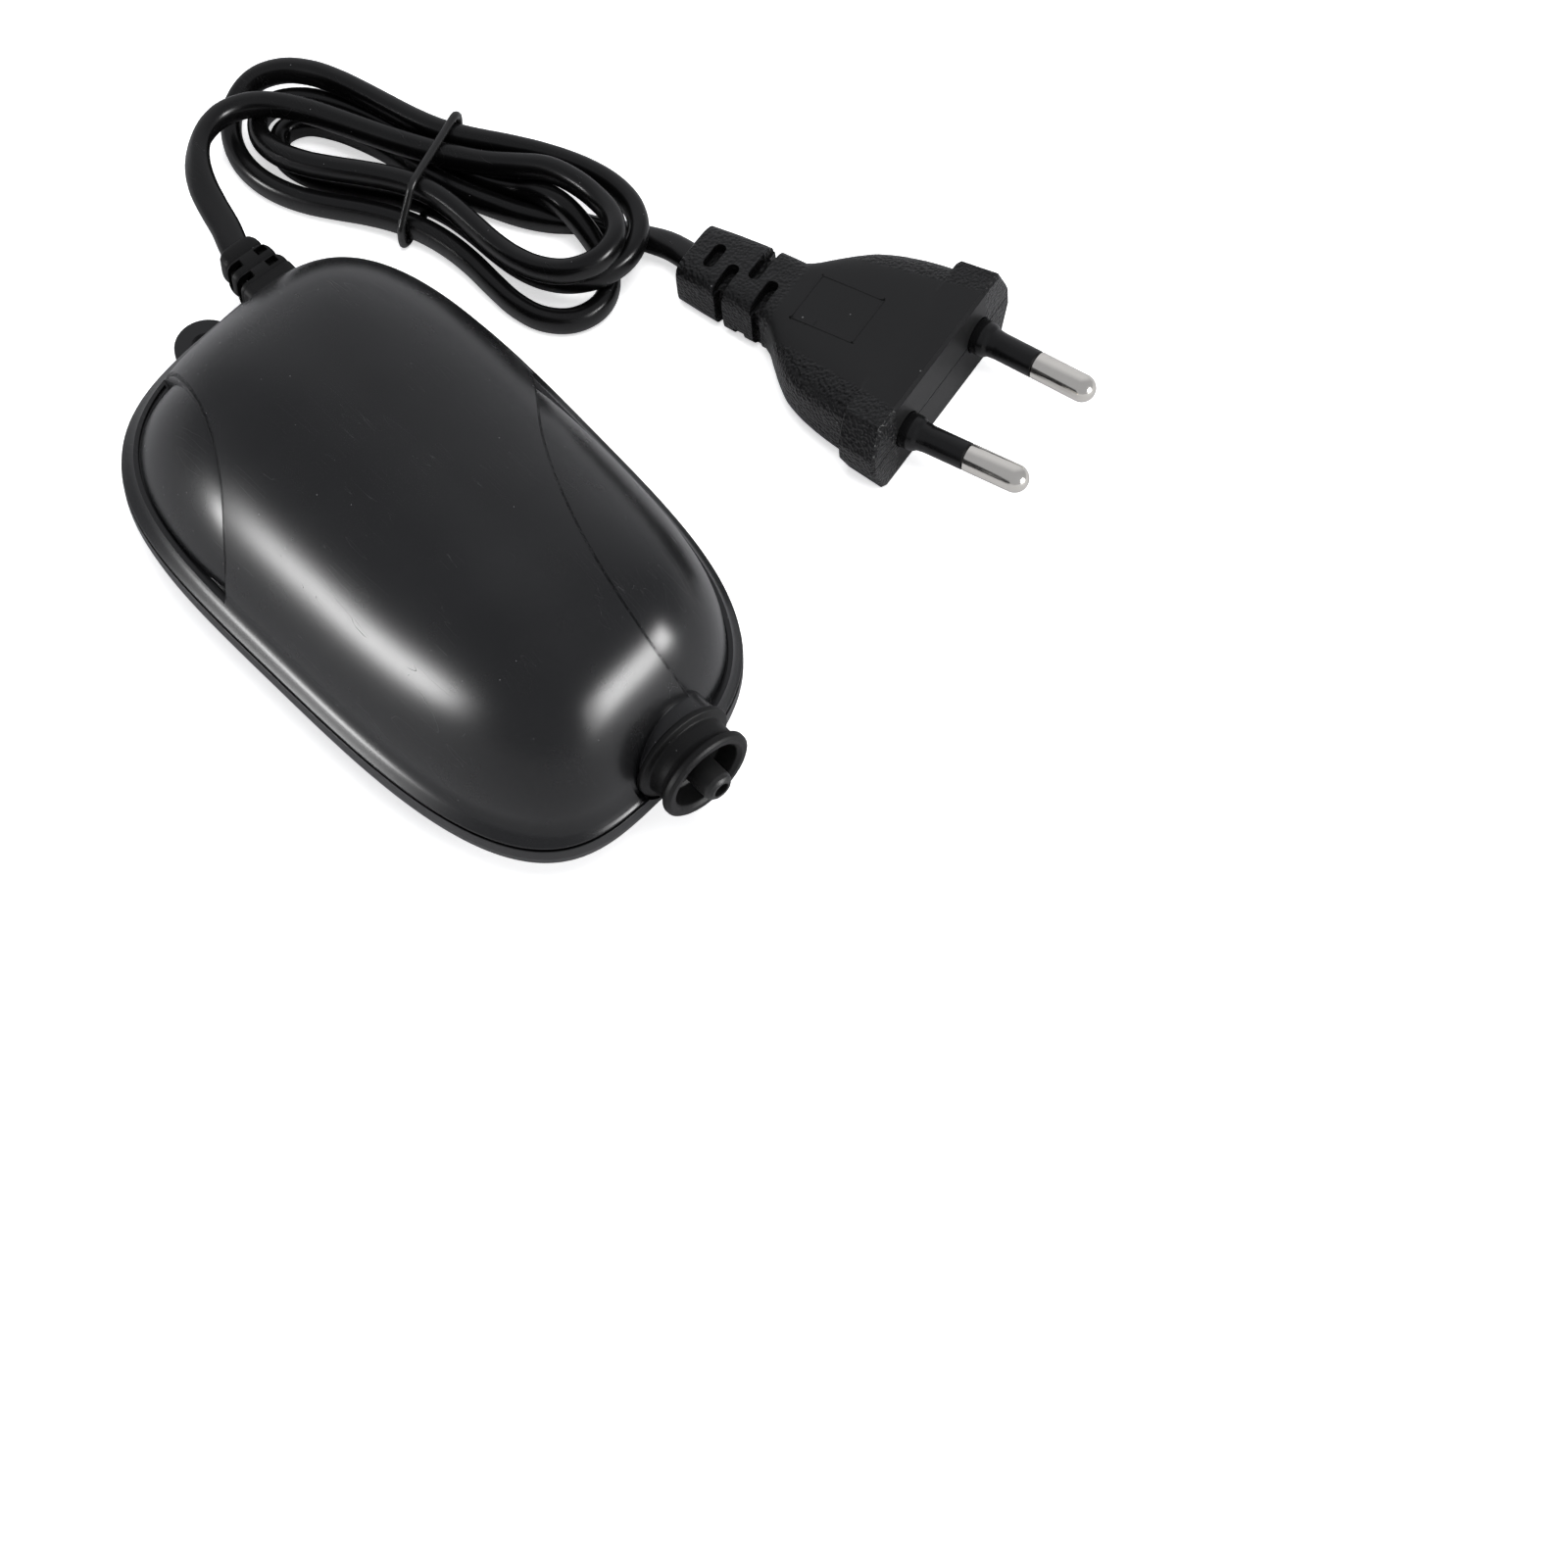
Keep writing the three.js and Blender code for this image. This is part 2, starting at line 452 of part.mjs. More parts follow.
add('outlet_grommet', aboutOutlet(turned([
  [3.6, 43.4], [6.6, 43.4], [6.6, 44.4], [5.9, 44.4], [5.9, 47.2], [6.75, 47.2], [6.75, 47.9],
  [6.3, 48.2], [6.25, 50.6], [6.6, 51.1], [6.95, 51.8], [6.85, 52.4], [6.4, -RIM_Y],
  [5.6, -RIM_Y], [5.15, 52.2], [5.05, 49.4], [4.6, 48.9], [2.6, 48.9], [2.55, 47.4],
  [3.6, 47.4], [3.6, 43.4],
], 26)), RUBBER);

// ---------------------------------------------------------------- valve chamber with nipple
const stackHoles = (radius, xs) => STACK_SCREWS.map(([y, z]) => rodX(radius, xs, y, z, 12));

const makeChamber = () => {
  const nipple = toSolid(aboutOutlet(turned([
    [0, 34], [3.2, 34], [3.2, 45.5], [2.3, 46.6], [NIPPLE_R, 47.2], [NIPPLE_R, 54.2],
    [1.98, 54.75], [1.55, -NIPPLE_Y], [0, -NIPPLE_Y],
  ], 40)));
  return cut(
    join(
      box([-1.1, 8.4], CHAMBER_Y, CHAMBER_Z),
      ...CHAMBER_SCREWS.map(([, y]) => box([7.0, 13.6], span(y, LUG_HALF), [6.7, LUG_TOP_Z])),
      nipple,
    ),
    box([-2, 6.4], [-33.4, -26.9], [6.0, 16.0]),               // pressure pocket
    box([-2, 6.4], [-25.1, -19.0], [6.0, 16.0]),               // intake pocket
    rodY(NIPPLE_BORE_R, [-60, -33], OUTLET_X, OUTLET_Z, 18),   // outlet bore
    rodZ(1.6, [14, 20], 3.0, -22.0, 16),                       // intake hole
    ...rodsZ(CHAMBER_SCREWS, 1.4, [5, 12], 14),
    ...stackHoles(0.75, [-3, 5]),
  );
};
add('valve_chamber', makeChamber(), NYLON);

const makeLugScrew = (x, y) => downScrew(x, y, LUG_TOP_Z + GAP, 6.3);
addEach('chamber_screw', CHAMBER_SCREWS, makeLugScrew, STEEL);

// ---------------------------------------------------------------- sheets on the chamber
// A sheet normal to X with the chamber's outline, its openings and the screw holes
const makeSheet = (xs, ...openings) => cut(
  box(xs, CHAMBER_Y, CHAMBER_Z), ...openings, ...stackHoles(0.95, [-14, 6]));

add('chamber_gasket', makeSheet(
  [-1.95, -1.35],
  box([-3, 0], [-33.2, -27.0], [6.2, 15.8]),
  box([-3, 0], [-25.0, -19.2], [6.2, 15.8]),
), RUBBER);

const valvePorts = [-29.2, -23.2].flatMap(
  (y) => [12.4, 9.6].map((z) => rodX(0.8, [-5, 0], y, z, 12)));
add('valve_plate', makeSheet([-3.75, -2.2], ...valvePorts), WHITE_NYLON);

// Thin flaps over the ports, one on each face of the valve plate
add('outlet_flap', box([-1.98, -1.5], [-31.9, -27.4], [7.6, 14.4]), RUBBER);
add('inlet_flap', box([-4.45, -3.97], [-24.6, -21.2], [8.6, 13.4]), RUBBER);

// ---------------------------------------------------------------- diaphragm
// A turned piece on the diaphragm axis: the profile's +Z becomes -X
const turnedAboutDiaphragm = (pairs, n) => turned(pairs, n)
  .rotateY(-Math.PI / 2).translate(0, DIAPHRAGM_Y, DIAPHRAGM_Z);

// Round cup
add('diaphragm', toSolid(turnedAboutDiaphragm([
  [1.3, 8.9], [4.2, 8.9], [5.2, 8.3], [5.7, 6.9], [6.3, 5.0], [7.4, 4.9], [7.4, 4.0],
  [5.65, 4.0], [5.0, 6.6], [4.2, 7.7], [1.3, 7.9], [1.3, 8.9],
], 32)), RUBBER);

const ringOpening = toSolid(turnedAboutDiaphragm([[0, 3], [6.6, 3], [6.6, 10], [0, 10]], 32));
add('clamp_ring', makeSheet(CLAMP_RING_X, ringOpening), NYLON);

const makeStackScrew = (y, z) => toSolid(turned([
  [0, -1.5], [1.35, -1.5], [1.5, -1.1], [1.5, -0.3], [0.6, -0.3], [0.6, 7.6], [0, 8.0],
], 14).rotateY(Math.PI / 2).translate(CLAMP_RING_X[0], y, z));
addEach('clamp_screw', STACK_SCREWS, makeStackScrew, STEEL);

add('diaphragm_disc', toSolid(turnedAboutDiaphragm([
  [0, 5.6], [3.4, 5.6], [3.6, 7.3], [1.15, 7.3], [1.15, 6.3], [0, 6.3],
], 24)), WHITE_NYLON);
add('diaphragm_washer', turnedAboutDiaphragm([
  [1.3, 9.2], [3.4, 9.2], [3.4, 10.3], [1.3, 10.3], [1.3, 9.2],
], 24), WHITE_NYLON);
add('diaphragm_screw', toSolid(turnedAboutDiaphragm([
  [0, 6.5], [0.85, 6.5], [0.85, 12.6], [2.0, 12.6], [2.0, 13.6], [1.4, 14.0], [0, 14.0],
], 16)), STEEL);

// ---------------------------------------------------------------- vibrating arm and its pivot
const makeArm = () => {
  const beam = join(
    box(span(ARM_X, ARM_HALF), [-34.5, -2.6], [8.6, 15.2]),
    box(span(ARM_X, ARM_HALF), [PIVOT_Y - 3.4, -34.0], [8.6, 13.4]),
  );
  const drilled = cut(
    beam,
    rodX(1.3, [-20, 0], DIAPHRAGM_Y, DIAPHRAGM_Z, 16),
    rodX(1.8, [-20, 0], -14, 12, 18),
  );
  const magnetPlate = box([ARM_X - ARM_HALF, CORE_X + 5.5], [-2.7, -1.3], [7.6, 16.4]);
  return drilled.add(magnetPlate);
};
add('vibrating_arm', makeArm(), NYLON);
add('magnet_yoke', extrudeY(rounded(13.0, 9.6, 1.0, 3), [-1.0, 0.1], CORE_X, COIL_Z), STEEL);
add('arm_magnet', box(span(CORE_X, 6.0), [0.4, 3.9], [7.4, 16.6]), FERRITE);

add('pivot_rubber', cut(
  box(span(ARM_X, 3.3), span(PIVOT_Y, 2.4), [7.5, 14.4]),
  box(span(ARM_X, 1.1), span(PIVOT_Y, 6), [8.3, 13.7]),
), RUBBER);

// Bridge over the rubber, with a foot on each side
const makePivotClip = () => {
  const bridge = cut(
    box(span(ARM_X, 4.5), span(PIVOT_Y, 1.9), [7.5, 15.5]),
    box(span(ARM_X, 3.6), span(PIVOT_Y, 6), [6, 14.7]),
  );
  const feet = bothSides(ARM_X, 4.2, 7.6)
    .map((xs) => box(xs, [PIVOT_Y - 1.7, PIVOT_Y + 1.9], [7.5, 8.4]));
  return cut(join(bridge, ...feet), ...rodsZ(PIVOT_SCREWS, 1.2, [5, 12], 14));
};
add('pivot_clip', makePivotClip(), STEEL);
addEach('pivot_screw', PIVOT_SCREWS, (x, y) => downScrew(x, y, 8.65, 5.6, 1.35), STEEL);

// ---------------------------------------------------------------- electromagnet
// E outline [x, y] from the middle of the core's rear face, legs towards -Y
const CORE_OUTLINE = [
  [-12, 0], [12, 0], [12, -20], [8.6, -20], [8.6, -5], [4, -5],
  [4, -20], [-4, -20], [-4, -5], [-8.6, -5], [-8.6, -20], [-12, -20],
];
const makeCore = () => {
  const lugs = CORE_SCREWS.map(([x]) => box(span(x, LUG_HALF), [25.5, 31.0], [7.0, LUG_TOP_Z]));
  return cut(
    join(extrudeZ(CORE_OUTLINE, [7.0, 17.0], CORE_X, CORE_REAR_Y), ...lugs),
    ...rodsZ(CORE_SCREWS, 1.4, [5, 12], 14),
  );
};
add('core_laminations', makeCore(), LAMINATION);
addEach('core_screw', CORE_SCREWS, makeLugScrew, STEEL);

// Rectangular tube along Y around the core's middle leg; sizes are [across X, across Z]
const coilTube = (outer, inner, ys, radius) => extrudeY(
  rounded(...outer, radius, 3), ys, CORE_X, COIL_Z, [rounded(...inner, 0.3, 1).reverse()]);
const BOBBIN_BORE = [8.6, 10.6];
const BOBBIN_FLANGE = [16.6, 19.0];
add('coil_bobbin', join(
  coilTube([10.2, 12.2], BOBBIN_BORE, [7.0, 20.6], 0.8),
  coilTube(BOBBIN_FLANGE, BOBBIN_BORE, [7.0, 8.0], 0.8),
  coilTube(BOBBIN_FLANGE, BOBBIN_BORE, [19.6, 20.6], 0.8),
), WHITE_NYLON);
add('coil_winding', coilTube([15.8, 18.0], [10.8, 12.8], [8.3, 19.3], 1.6), COPPER);

// ---------------------------------------------------------------- wiring
const WIRE_SIDES = 6;
const makeWire = (path, radius) => {
  const section = Array.from({ length: WIRE_SIDES }, (_, i) => {
    const angle = (i / WIRE_SIDES) * Math.PI * 2;
    return new THREE.Vector2(radius * Math.cos(angle), radius * Math.sin(angle));
  });
  return new THREE.ExtrudeGeometry(new THREE.Shape(section), {
    steps: 14, bevelEnabled: false, extrudePath: curveThrough(path, false),
  });
};
const CORE_WIRE_R = 0.65;
const LEAD_WIRE_R = 0.5;
add('core_wire_1', makeWire([
  [9.5, 23.6, 8.0], [9.3, 20.5, 8.3], [8.6, 17.5, 8.9], [8.4, 14.5, 9.1], [8.4, 10.5, 9.1],
], CORE_WIRE_R), BLUE_WIRE);
add('core_wire_2', makeWire([
  [11.3, 23.6, 8.0], [11.7, 20.5, 8.3], [13.0, 17.5, 8.9], [13.4, 14.5, 9.1],
  [13.4, 10.5, 9.1],
], CORE_WIRE_R), BROWN_WIRE);
add('lead_wire_1', makeWire([
  [-4.0, 21.5, 19.4], [2.0, 23.2, 19.0], [6.8, 20.8, 14.6], [8.2, 17.8, 11.2],
  [8.4, 14.5, 10.75], [8.4, 10.5, 10.75],
], LEAD_WIRE_R), SOFT_PVC);
add('lead_wire_2', makeWire([
  [-11.5, 21.5, 19.9], [-6.0, 25.0, 20.4], [4.0, 25.4, 17.6], [11.0, 21.5, 13.2],
  [13.2, 17.8, 11.2], [13.4, 14.5, 10.75], [13.4, 10.5, 10.75],
], LEAD_WIRE_R), SOFT_PVC);

// Cap open towards +Y, where the wires enter
const makeSleeve = (x, z) => turned([
  [0, 7.4], [1.5, 7.4], [2.05, 8.2], [2.05, 16.0], [1.65, 16.0], [1.65, 9.2], [0, 9.2],
], 18).rotateX(-Math.PI / 2).translate(x, 0, z);
addEach('joint_sleeve', SLEEVES, makeSleeve, WHITE_NYLON);

const makeCordClamp = () => {
  const ys = span(CORD_CLAMP_Y, 2.3);
  const bridge = box(span(BOOT_X, 6.6), ys, [9.9, CORD_CLAMP_TOP_Z]);
  const legs = bothSides(BOOT_X, 2.65, 6.6).map((xs) => box(xs, ys, [6.4, 10.5]));
  return cut(join(bridge, ...legs), ...rodsZ(CORD_CLAMP_SCREWS, 1.3, [4, 14], 14));
};
add('cord_clamp', makeCordClamp(), NYLON);
addEach('cord_clamp_screw', CORD_CLAMP_SCREWS,
  (x, y) => downScrew(x, y, CORD_CLAMP_TOP_Z + GAP, 8.2, 1.8), STEEL);

const FILTER_Z = FLOOR_Z + GAP;
add('air_filter', extrudeZ(rounded(9.2, 20.5, 1.5, 3), [FILTER_Z, FILTER_Z + 3.0], 17.4), FELT);

// ---------------------------------------------------------------- mains cord
// Flat cord section with round edges, its wide side along the second coordinate
const cordSection = () => {
  const arcSteps = 3;
  const radius = CORD_W / 2;
  const points = [];
  for (const side of [1, -1]) {
    for (let i = 0; i <= arcSteps; i++) {
      const angle = Math.PI * i / arcSteps;
      points.push(new THREE.Vector2(
        side * radius * Math.cos(angle),
        side * ((CORD_H - CORD_W) / 2 + radius * Math.sin(angle)),
      ));
    }
  }
  return new THREE.Shape(points);
};
const smooth = (t) => {
  const c = Math.min(Math.max(t, 0), 1);
  return c * c * (3 - 2 * c);
};
// The cord lies flat in the strain relief and in the plug, and stands on edge in between;
// s is the fraction of its length.
const cordTwist = (s) => Math.PI / 2
  * (1 - smooth((s - 0.06) / 0.05) + smooth((s - 0.925) / 0.045));

// A straight extrusion, one unit per step, bent onto the centre line
const makeCord = () => {
  const points = curveThrough(CORD_PATH, false).getSpacedPoints(CORD_STEPS);
  const up = new THREE.Vector3(0, 0, 1);
  const frames = points.map((centre, i) => {
    const along = points[Math.min(i + 1, CORD_STEPS)].clone()
      .sub(points[Math.max(i - 1, 0)]).normalize();
    const side = new THREE.Vector3().crossVectors(up, along).normalize();
    const top = new THREE.Vector3().crossVectors(along, side).normalize();
    const angle = cordTwist(i / CORD_STEPS);
    const cos = Math.cos(angle);
    const sin = Math.sin(angle);
    return {
      centre,
      across: side.clone().multiplyScalar(cos).addScaledVector(top, sin),
      upright: top.clone().multiplyScalar(cos).addScaledVector(side, -sin),
    };
  });
  const cord = new THREE.ExtrudeGeometry(cordSection(), {
    steps: CORD_STEPS, depth: CORD_STEPS, bevelEnabled: false,
  });
  const position = cord.attributes.position;
  for (let k = 0; k < position.count; k++) {
    const { centre, across, upright } = frames[Math.round(position.getZ(k))];
    const point = centre.clone()
      .addScaledVector(across, position.getX(k))
      .addScaledVector(upright, position.getY(k));
    position.setXYZ(k, point.x, point.y, point.z);
  }
  cord.computeVertexNormals();
  return cord;
};
add('power_cord', makeCord(), SOFT_PVC);

// Strain relief: collar held in the casing wall and a slotted tail
const makeBoot = () => {
  const bar = (width, height, ys) => extrudeY(
    rounded(width, height, 1.5, 4), ys, BOOT_X, PARTING_Z);
  const slots = [50.0, 53.0].flatMap((y) => bothSides(BOOT_X, 0.9, 5).flatMap(
    (xs) => bothSides(PARTING_Z, 2.15, 5).map((zs) => box(xs, span(y, 0.7), zs))));
  return cut(
    join(
      bar(10.0, 6.4, [41.5, 42.5]),
      bar(8.2, 5.8, [42.3, 50.6]),
      bar(7.2, 5.7, [50.2, 53.4]),
      bar(6.2, 5.5, [53.0, 55.6]),
    ),
    box(span(BOOT_X, 2.4), [40, 60], span(PARTING_Z, 1.85)),
    ...slots,
  );
};
add('strain_relief', makeBoot(), RUBBER);

// Wire tie: a torus whose rings are moved onto the tie path
const makeTie = () => {
  const around = 48;
  const sides = 6;
  const curve = curveThrough(TIE_PATH, true);
  const start = curve.getPointAt(0);
  const across = curve.getPointAt(0.5).sub(start)
    .cross(curve.getPointAt(0.25).sub(start)).normalize();
  const torus = new THREE.TorusGeometry(1, TIE_R, sides, around);
  for (let j = 0; j <= sides; j++) {
    const angle = (j % sides) / sides * Math.PI * 2;
    for (let i = 0; i <= around; i++) {
      const u = (i % around) / around;
      const outward = new THREE.Vector3().crossVectors(across, curve.getTangentAt(u)).normalize();
      const point = curve.getPointAt(u)
        .addScaledVector(outward, TIE_R * Math.cos(angle))
        .addScaledVector(across, -TIE_R * Math.sin(angle));
      torus.attributes.position.setXYZ(j * (around + 1) + i, point.x, point.y, point.z);
    }
  }
  return toSolid(torus);
};
add('cord_tie', makeTie(), TIE_BLACK);

// ---------------------------------------------------------------- plug
// Built in its own frame, pins along +X and the centre of the pin face at the origin, then
// turned into place.
const radians = (degrees) => degrees * Math.PI / 180;
const plugMatrix = new THREE.Matrix4()
  .makeRotationFromEuler(new THREE.Euler(0, -radians(PLUG.tilt), radians(PLUG.yaw), 'ZYX'))
  .setPosition(PLUG.x, PLUG.y, PLUG.z);
const inPlace = (shape) => toGeometry(shape).applyMatrix4(plugMatrix);

// A turned piece on the axis of the pin at side +1 or -1; the pins lean together at the tips
const PIN_LEAN = Math.atan2(PIN_SPREAD - PIN_SPREAD_TIP, PIN_LENGTH);
const turnedAboutPin = (pairs, n, side) => turned(pairs, n)
  .rotateY(Math.PI / 2).rotateZ(-PIN_LEAN * side).translate(0, side * PIN_SPREAD, 0);

// Half outline [x, y] seen from above
const PLUG_OUTLINE = [
  [0, 17.2], [-0.6, 17.65], [-6.2, 17.2], [-6.5, 15.8], [-10.0, 15.1], [-14.0, 14.0],
  [-17.5, 12.5], [-20.0, 10.7], [-22.5, 8.4], [-24.3, 6.7], [-26.0, 5.8], [-41.0, 5.0],
];
// Half outline [x, z] seen from the side; the thickness falls from the pin face to the tail
const PLUG_SIDE = [[1, -6.85], [-2, -6.85], [-9, -6.2], [-24, -4.9], [-42, -4.1]];
// Slots [x, y low, y high] across the tail, cut from above and below
const TAIL_SLOTS = [[-31.0, -9, 1.2], [-34.6, -1.2, 9], [-38.2, -9, 1.2]];

const makePlugBody = () => {
  const roundedEdges = toSolid(plate(rounded(36.4, 14.2, 3.2, 3), 60)
    .rotateX(Math.PI / 2).rotateZ(Math.PI / 2).translate(-50, 0, 0));
  const body = extrudeZ(mirrored(PLUG_OUTLINE), [-6.7, 6.7])
    .intersect(extrudeY(mirrored(PLUG_SIDE), [-25, 25], 0, 0))
    .intersect(roundedEdges);
  const slots = TAIL_SLOTS.flatMap(([x, low, high]) => bothSides(0, 2.6, 9)
    .map((zs) => box(span(x, 0.7), [low, high], zs)));
  const pinHoles = [1, -1].map((side) => toSolid(
    turnedAboutPin([[0, -13.6], [2.75, -13.6], [2.75, 2], [0, 2]], 24, side)));
  const cordHole = box([-45, -24], span(0, 2.45), span(0, 1.9));
  return cut(body, ...slots, ...pinHoles, cordHole);
};
add('plug_body', inPlace(makePlugBody()), SOFT_PVC);

const makePin = (side) => turnedAboutPin([
  [0, -12.5], [1.55, -12.5], [1.55, 9.7], [PIN_R, 9.85], [PIN_R, 17.6], [1.75, 18.4],
  [1.1, PIN_LENGTH], [0, PIN_LENGTH],
], 18, side);
const makePinSleeve = (side) => turnedAboutPin([
  [1.75, -13.0], [2.45, -13.0], [2.45, 0.9], [2.3, 2.2], [PIN_R, 3.0], [PIN_R, 9.4],
  [1.75, 9.4], [1.75, -13.0],
], 18, side);
[1, -1].forEach((side, i) => {
  add(`plug_pin_${i + 1}`, inPlace(makePin(side)), NICKEL);
  add(`pin_sleeve_${i + 1}`, inPlace(makePinSleeve(side)), SOFT_PVC);
});

export default pump;
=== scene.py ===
# Aquarium air pump with its mains cord and plug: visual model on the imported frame.
# Sizes are millimetres; make() writes every mesh in metres. x runs across the housing, y along it
# and z up. The outlet is at the front (-y), the cord leaves at the rear (+y), and z = 0 is the
# underside of the lower casing, above the rubber feet.
import json
from math import atan2, cos, pi, radians, sin

import bpy
import numpy as np
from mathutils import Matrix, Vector


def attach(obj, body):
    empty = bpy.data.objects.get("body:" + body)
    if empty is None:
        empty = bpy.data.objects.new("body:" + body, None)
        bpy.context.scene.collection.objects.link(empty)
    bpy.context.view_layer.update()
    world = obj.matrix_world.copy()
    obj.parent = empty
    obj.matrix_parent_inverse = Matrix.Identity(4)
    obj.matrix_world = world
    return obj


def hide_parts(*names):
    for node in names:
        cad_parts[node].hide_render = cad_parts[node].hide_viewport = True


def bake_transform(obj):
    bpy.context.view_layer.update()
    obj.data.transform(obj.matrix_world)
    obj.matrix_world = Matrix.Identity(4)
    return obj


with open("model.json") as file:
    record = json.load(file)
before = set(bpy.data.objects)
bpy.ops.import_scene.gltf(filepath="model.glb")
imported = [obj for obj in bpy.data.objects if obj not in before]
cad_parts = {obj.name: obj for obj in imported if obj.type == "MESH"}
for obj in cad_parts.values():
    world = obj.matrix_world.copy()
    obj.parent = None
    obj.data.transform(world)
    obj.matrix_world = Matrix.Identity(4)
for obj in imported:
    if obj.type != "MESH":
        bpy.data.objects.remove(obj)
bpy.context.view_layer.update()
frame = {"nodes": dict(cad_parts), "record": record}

NODES = frame["nodes"]

# ------------------------------------------------------------------ driving dimensions
HALF_LENGTH, HALF_WIDTH = 47.8, 28.3    # housing outline at the parting plane
SQUARENESS = 3.36                       # superellipse exponent of the outline
TAPER = 0.048                           # widening towards the rear
SKEW = 0.12                             # slant of the two ends
PARTING_Z = 8.0
COVER_Z = PARTING_Z + 0.15              # lower edge of the cover

CROWN_REAR, CROWN_FRONT = 45.7, 46.6    # half lengths of the crown
CROWN_HALF_WIDTH = 26.2
CROWN_Z, CROWN_HEIGHT = 10.5, 22.5
SIDE_FALL, FRONT_FALL, REAR_FALL = 2.3, 7.0, 4.6    # higher falls away later
EDGE_POWER = 0.625                      # roundness at the crown's edge; 1 at the rear

OUTLET = (3.0, 0, 11.8)                 # a point on the outlet axis
OUTLET_FACE = 46.9                      # distance of the boss face along -y
BOOT_X = 10.4                           # axis of the cord's strain relief
FEET = [(-14.0, -23.2), (14.0, -23.2), (-15.5, 25.0), (15.5, 25.0)]

PLUG_AT = np.array([71.0, -23.6, 4.35])     # centre of the plug's pin face
PLUG_YAW, PLUG_PITCH = radians(-74.5), radians(-3.6)

# Centre line of the mains cord (x, y, z), from the housing to the plug
CORD = np.array([
    (10.40, 24.50, 8.00), (10.40, 29.00, 8.00), (10.40, 33.49, 8.00), (10.40, 37.99, 8.00),
    (10.40, 42.48, 8.00), (10.40, 46.98, 8.00), (10.40, 51.52, 8.00), (10.76, 55.89, 7.99),
    (12.17, 60.11, 7.85), (13.27, 64.46, 7.58), (14.63, 68.73, 7.31), (16.78, 72.64, 7.07),
    (20.02, 75.67, 6.89), (24.20, 76.94, 6.74), (28.45, 75.88, 6.58), (31.90, 73.09, 6.27),
    (34.53, 69.48, 5.90), (36.69, 65.56, 5.61), (38.67, 61.52, 5.47), (40.66, 57.49, 5.44),
    (42.81, 53.55, 5.40), (45.21, 49.75, 5.28), (47.79, 46.08, 5.33), (50.41, 42.51, 6.03),
    (52.72, 38.80, 6.98), (54.12, 34.57, 7.08), (54.50, 30.12, 7.12), (53.71, 25.80, 7.82),
    (51.19, 22.33, 8.62), (47.13, 21.14, 8.48), (43.37, 22.96, 7.44), (41.09, 26.58, 6.31),
    (39.97, 30.83, 5.48), (39.53, 35.27, 5.06), (39.40, 39.76, 5.05), (39.11, 44.24, 5.23),
    (38.10, 48.60, 5.37), (36.19, 52.65, 5.31), (33.79, 56.43, 5.05), (31.25, 60.13, 4.70),
    (28.95, 63.96, 4.28), (27.47, 68.13, 3.74), (27.60, 72.47, 2.95), (29.87, 76.02, 1.88),
    (33.83, 77.23, 0.97), (37.66, 75.32, 0.43), (40.32, 71.75, 0.18), (42.19, 67.68, 0.13),
    (43.51, 63.39, 0.31), (44.40, 58.99, 0.61), (45.19, 54.58, 0.81), (46.30, 50.23, 0.79),
    (48.01, 46.08, 0.65), (49.90, 42.11, 1.32), (51.09, 38.21, 3.13), (51.62, 33.97, 3.97),
    (51.96, 29.89, 2.35), (51.65, 25.91, 0.38), (49.74, 22.05, -0.27), (45.99, 19.94, -0.29),
    (41.73, 20.62, -0.29), (38.67, 23.72, -0.27), (37.39, 27.97, -0.19), (37.18, 32.44, -0.01),
    (37.15, 36.93, 0.25), (36.66, 41.38, 0.56), (35.52, 45.71, 0.80), (33.79, 49.85, 0.81),
    (31.59, 53.76, 0.59), (29.12, 57.50, 0.27), (26.75, 61.31, -0.01), (24.95, 65.41, -0.18),
    (24.08, 69.79, -0.26), (24.48, 74.22, -0.21), (26.33, 78.23, 0.16), (29.54, 81.10, 1.06),
    (33.59, 81.65, 2.42), (37.21, 79.50, 3.60), (39.81, 75.94, 4.21), (41.57, 71.82, 4.44),
    (42.83, 67.51, 4.60), (43.88, 63.15, 4.87), (44.96, 58.80, 5.18), (46.50, 54.59, 5.37),
    (48.81, 50.76, 5.32), (51.53, 47.19, 5.07), (54.15, 43.55, 4.75), (56.41, 39.68, 4.51),
    (58.10, 35.53, 4.43), (58.90, 31.13, 4.49), (58.36, 26.73, 4.63), (56.02, 23.01, 4.72),
    (52.13, 21.06, 4.56), (47.86, 21.56, 3.96), (44.62, 24.24, 2.72), (42.69, 28.06, 1.45),
    (41.67, 32.34, 0.61), (41.22, 36.79, 0.31), (40.90, 41.27, 0.45), (40.19, 45.69, 0.72),
    (38.71, 49.91, 0.83), (36.54, 53.84, 0.71), (34.09, 57.59, 0.41), (31.67, 61.37, 0.10),
    (29.72, 65.39, -0.12), (29.21, 69.76, -0.23), (31.45, 73.19, -0.27), (35.34, 72.45, -0.23),
    (37.97, 68.89, -0.12), (39.64, 64.74, 0.10), (40.79, 60.41, 0.42), (41.60, 56.00, 0.71),
    (42.50, 51.60, 0.83), (43.84, 47.32, 0.72), (45.71, 43.25, 0.43), (47.85, 39.31, 0.11),
    (50.45, 35.68, -0.11), (53.51, 32.40, -0.22), (56.02, 28.68, -0.20), (58.15, 24.74, 0.08),
    (59.83, 20.63, 0.68), (60.28, 16.31, 1.57), (61.07, 11.97, 2.04), (62.33, 7.65, 2.31),
    (63.53, 3.33, 2.59), (63.93, 1.89, 2.69)])

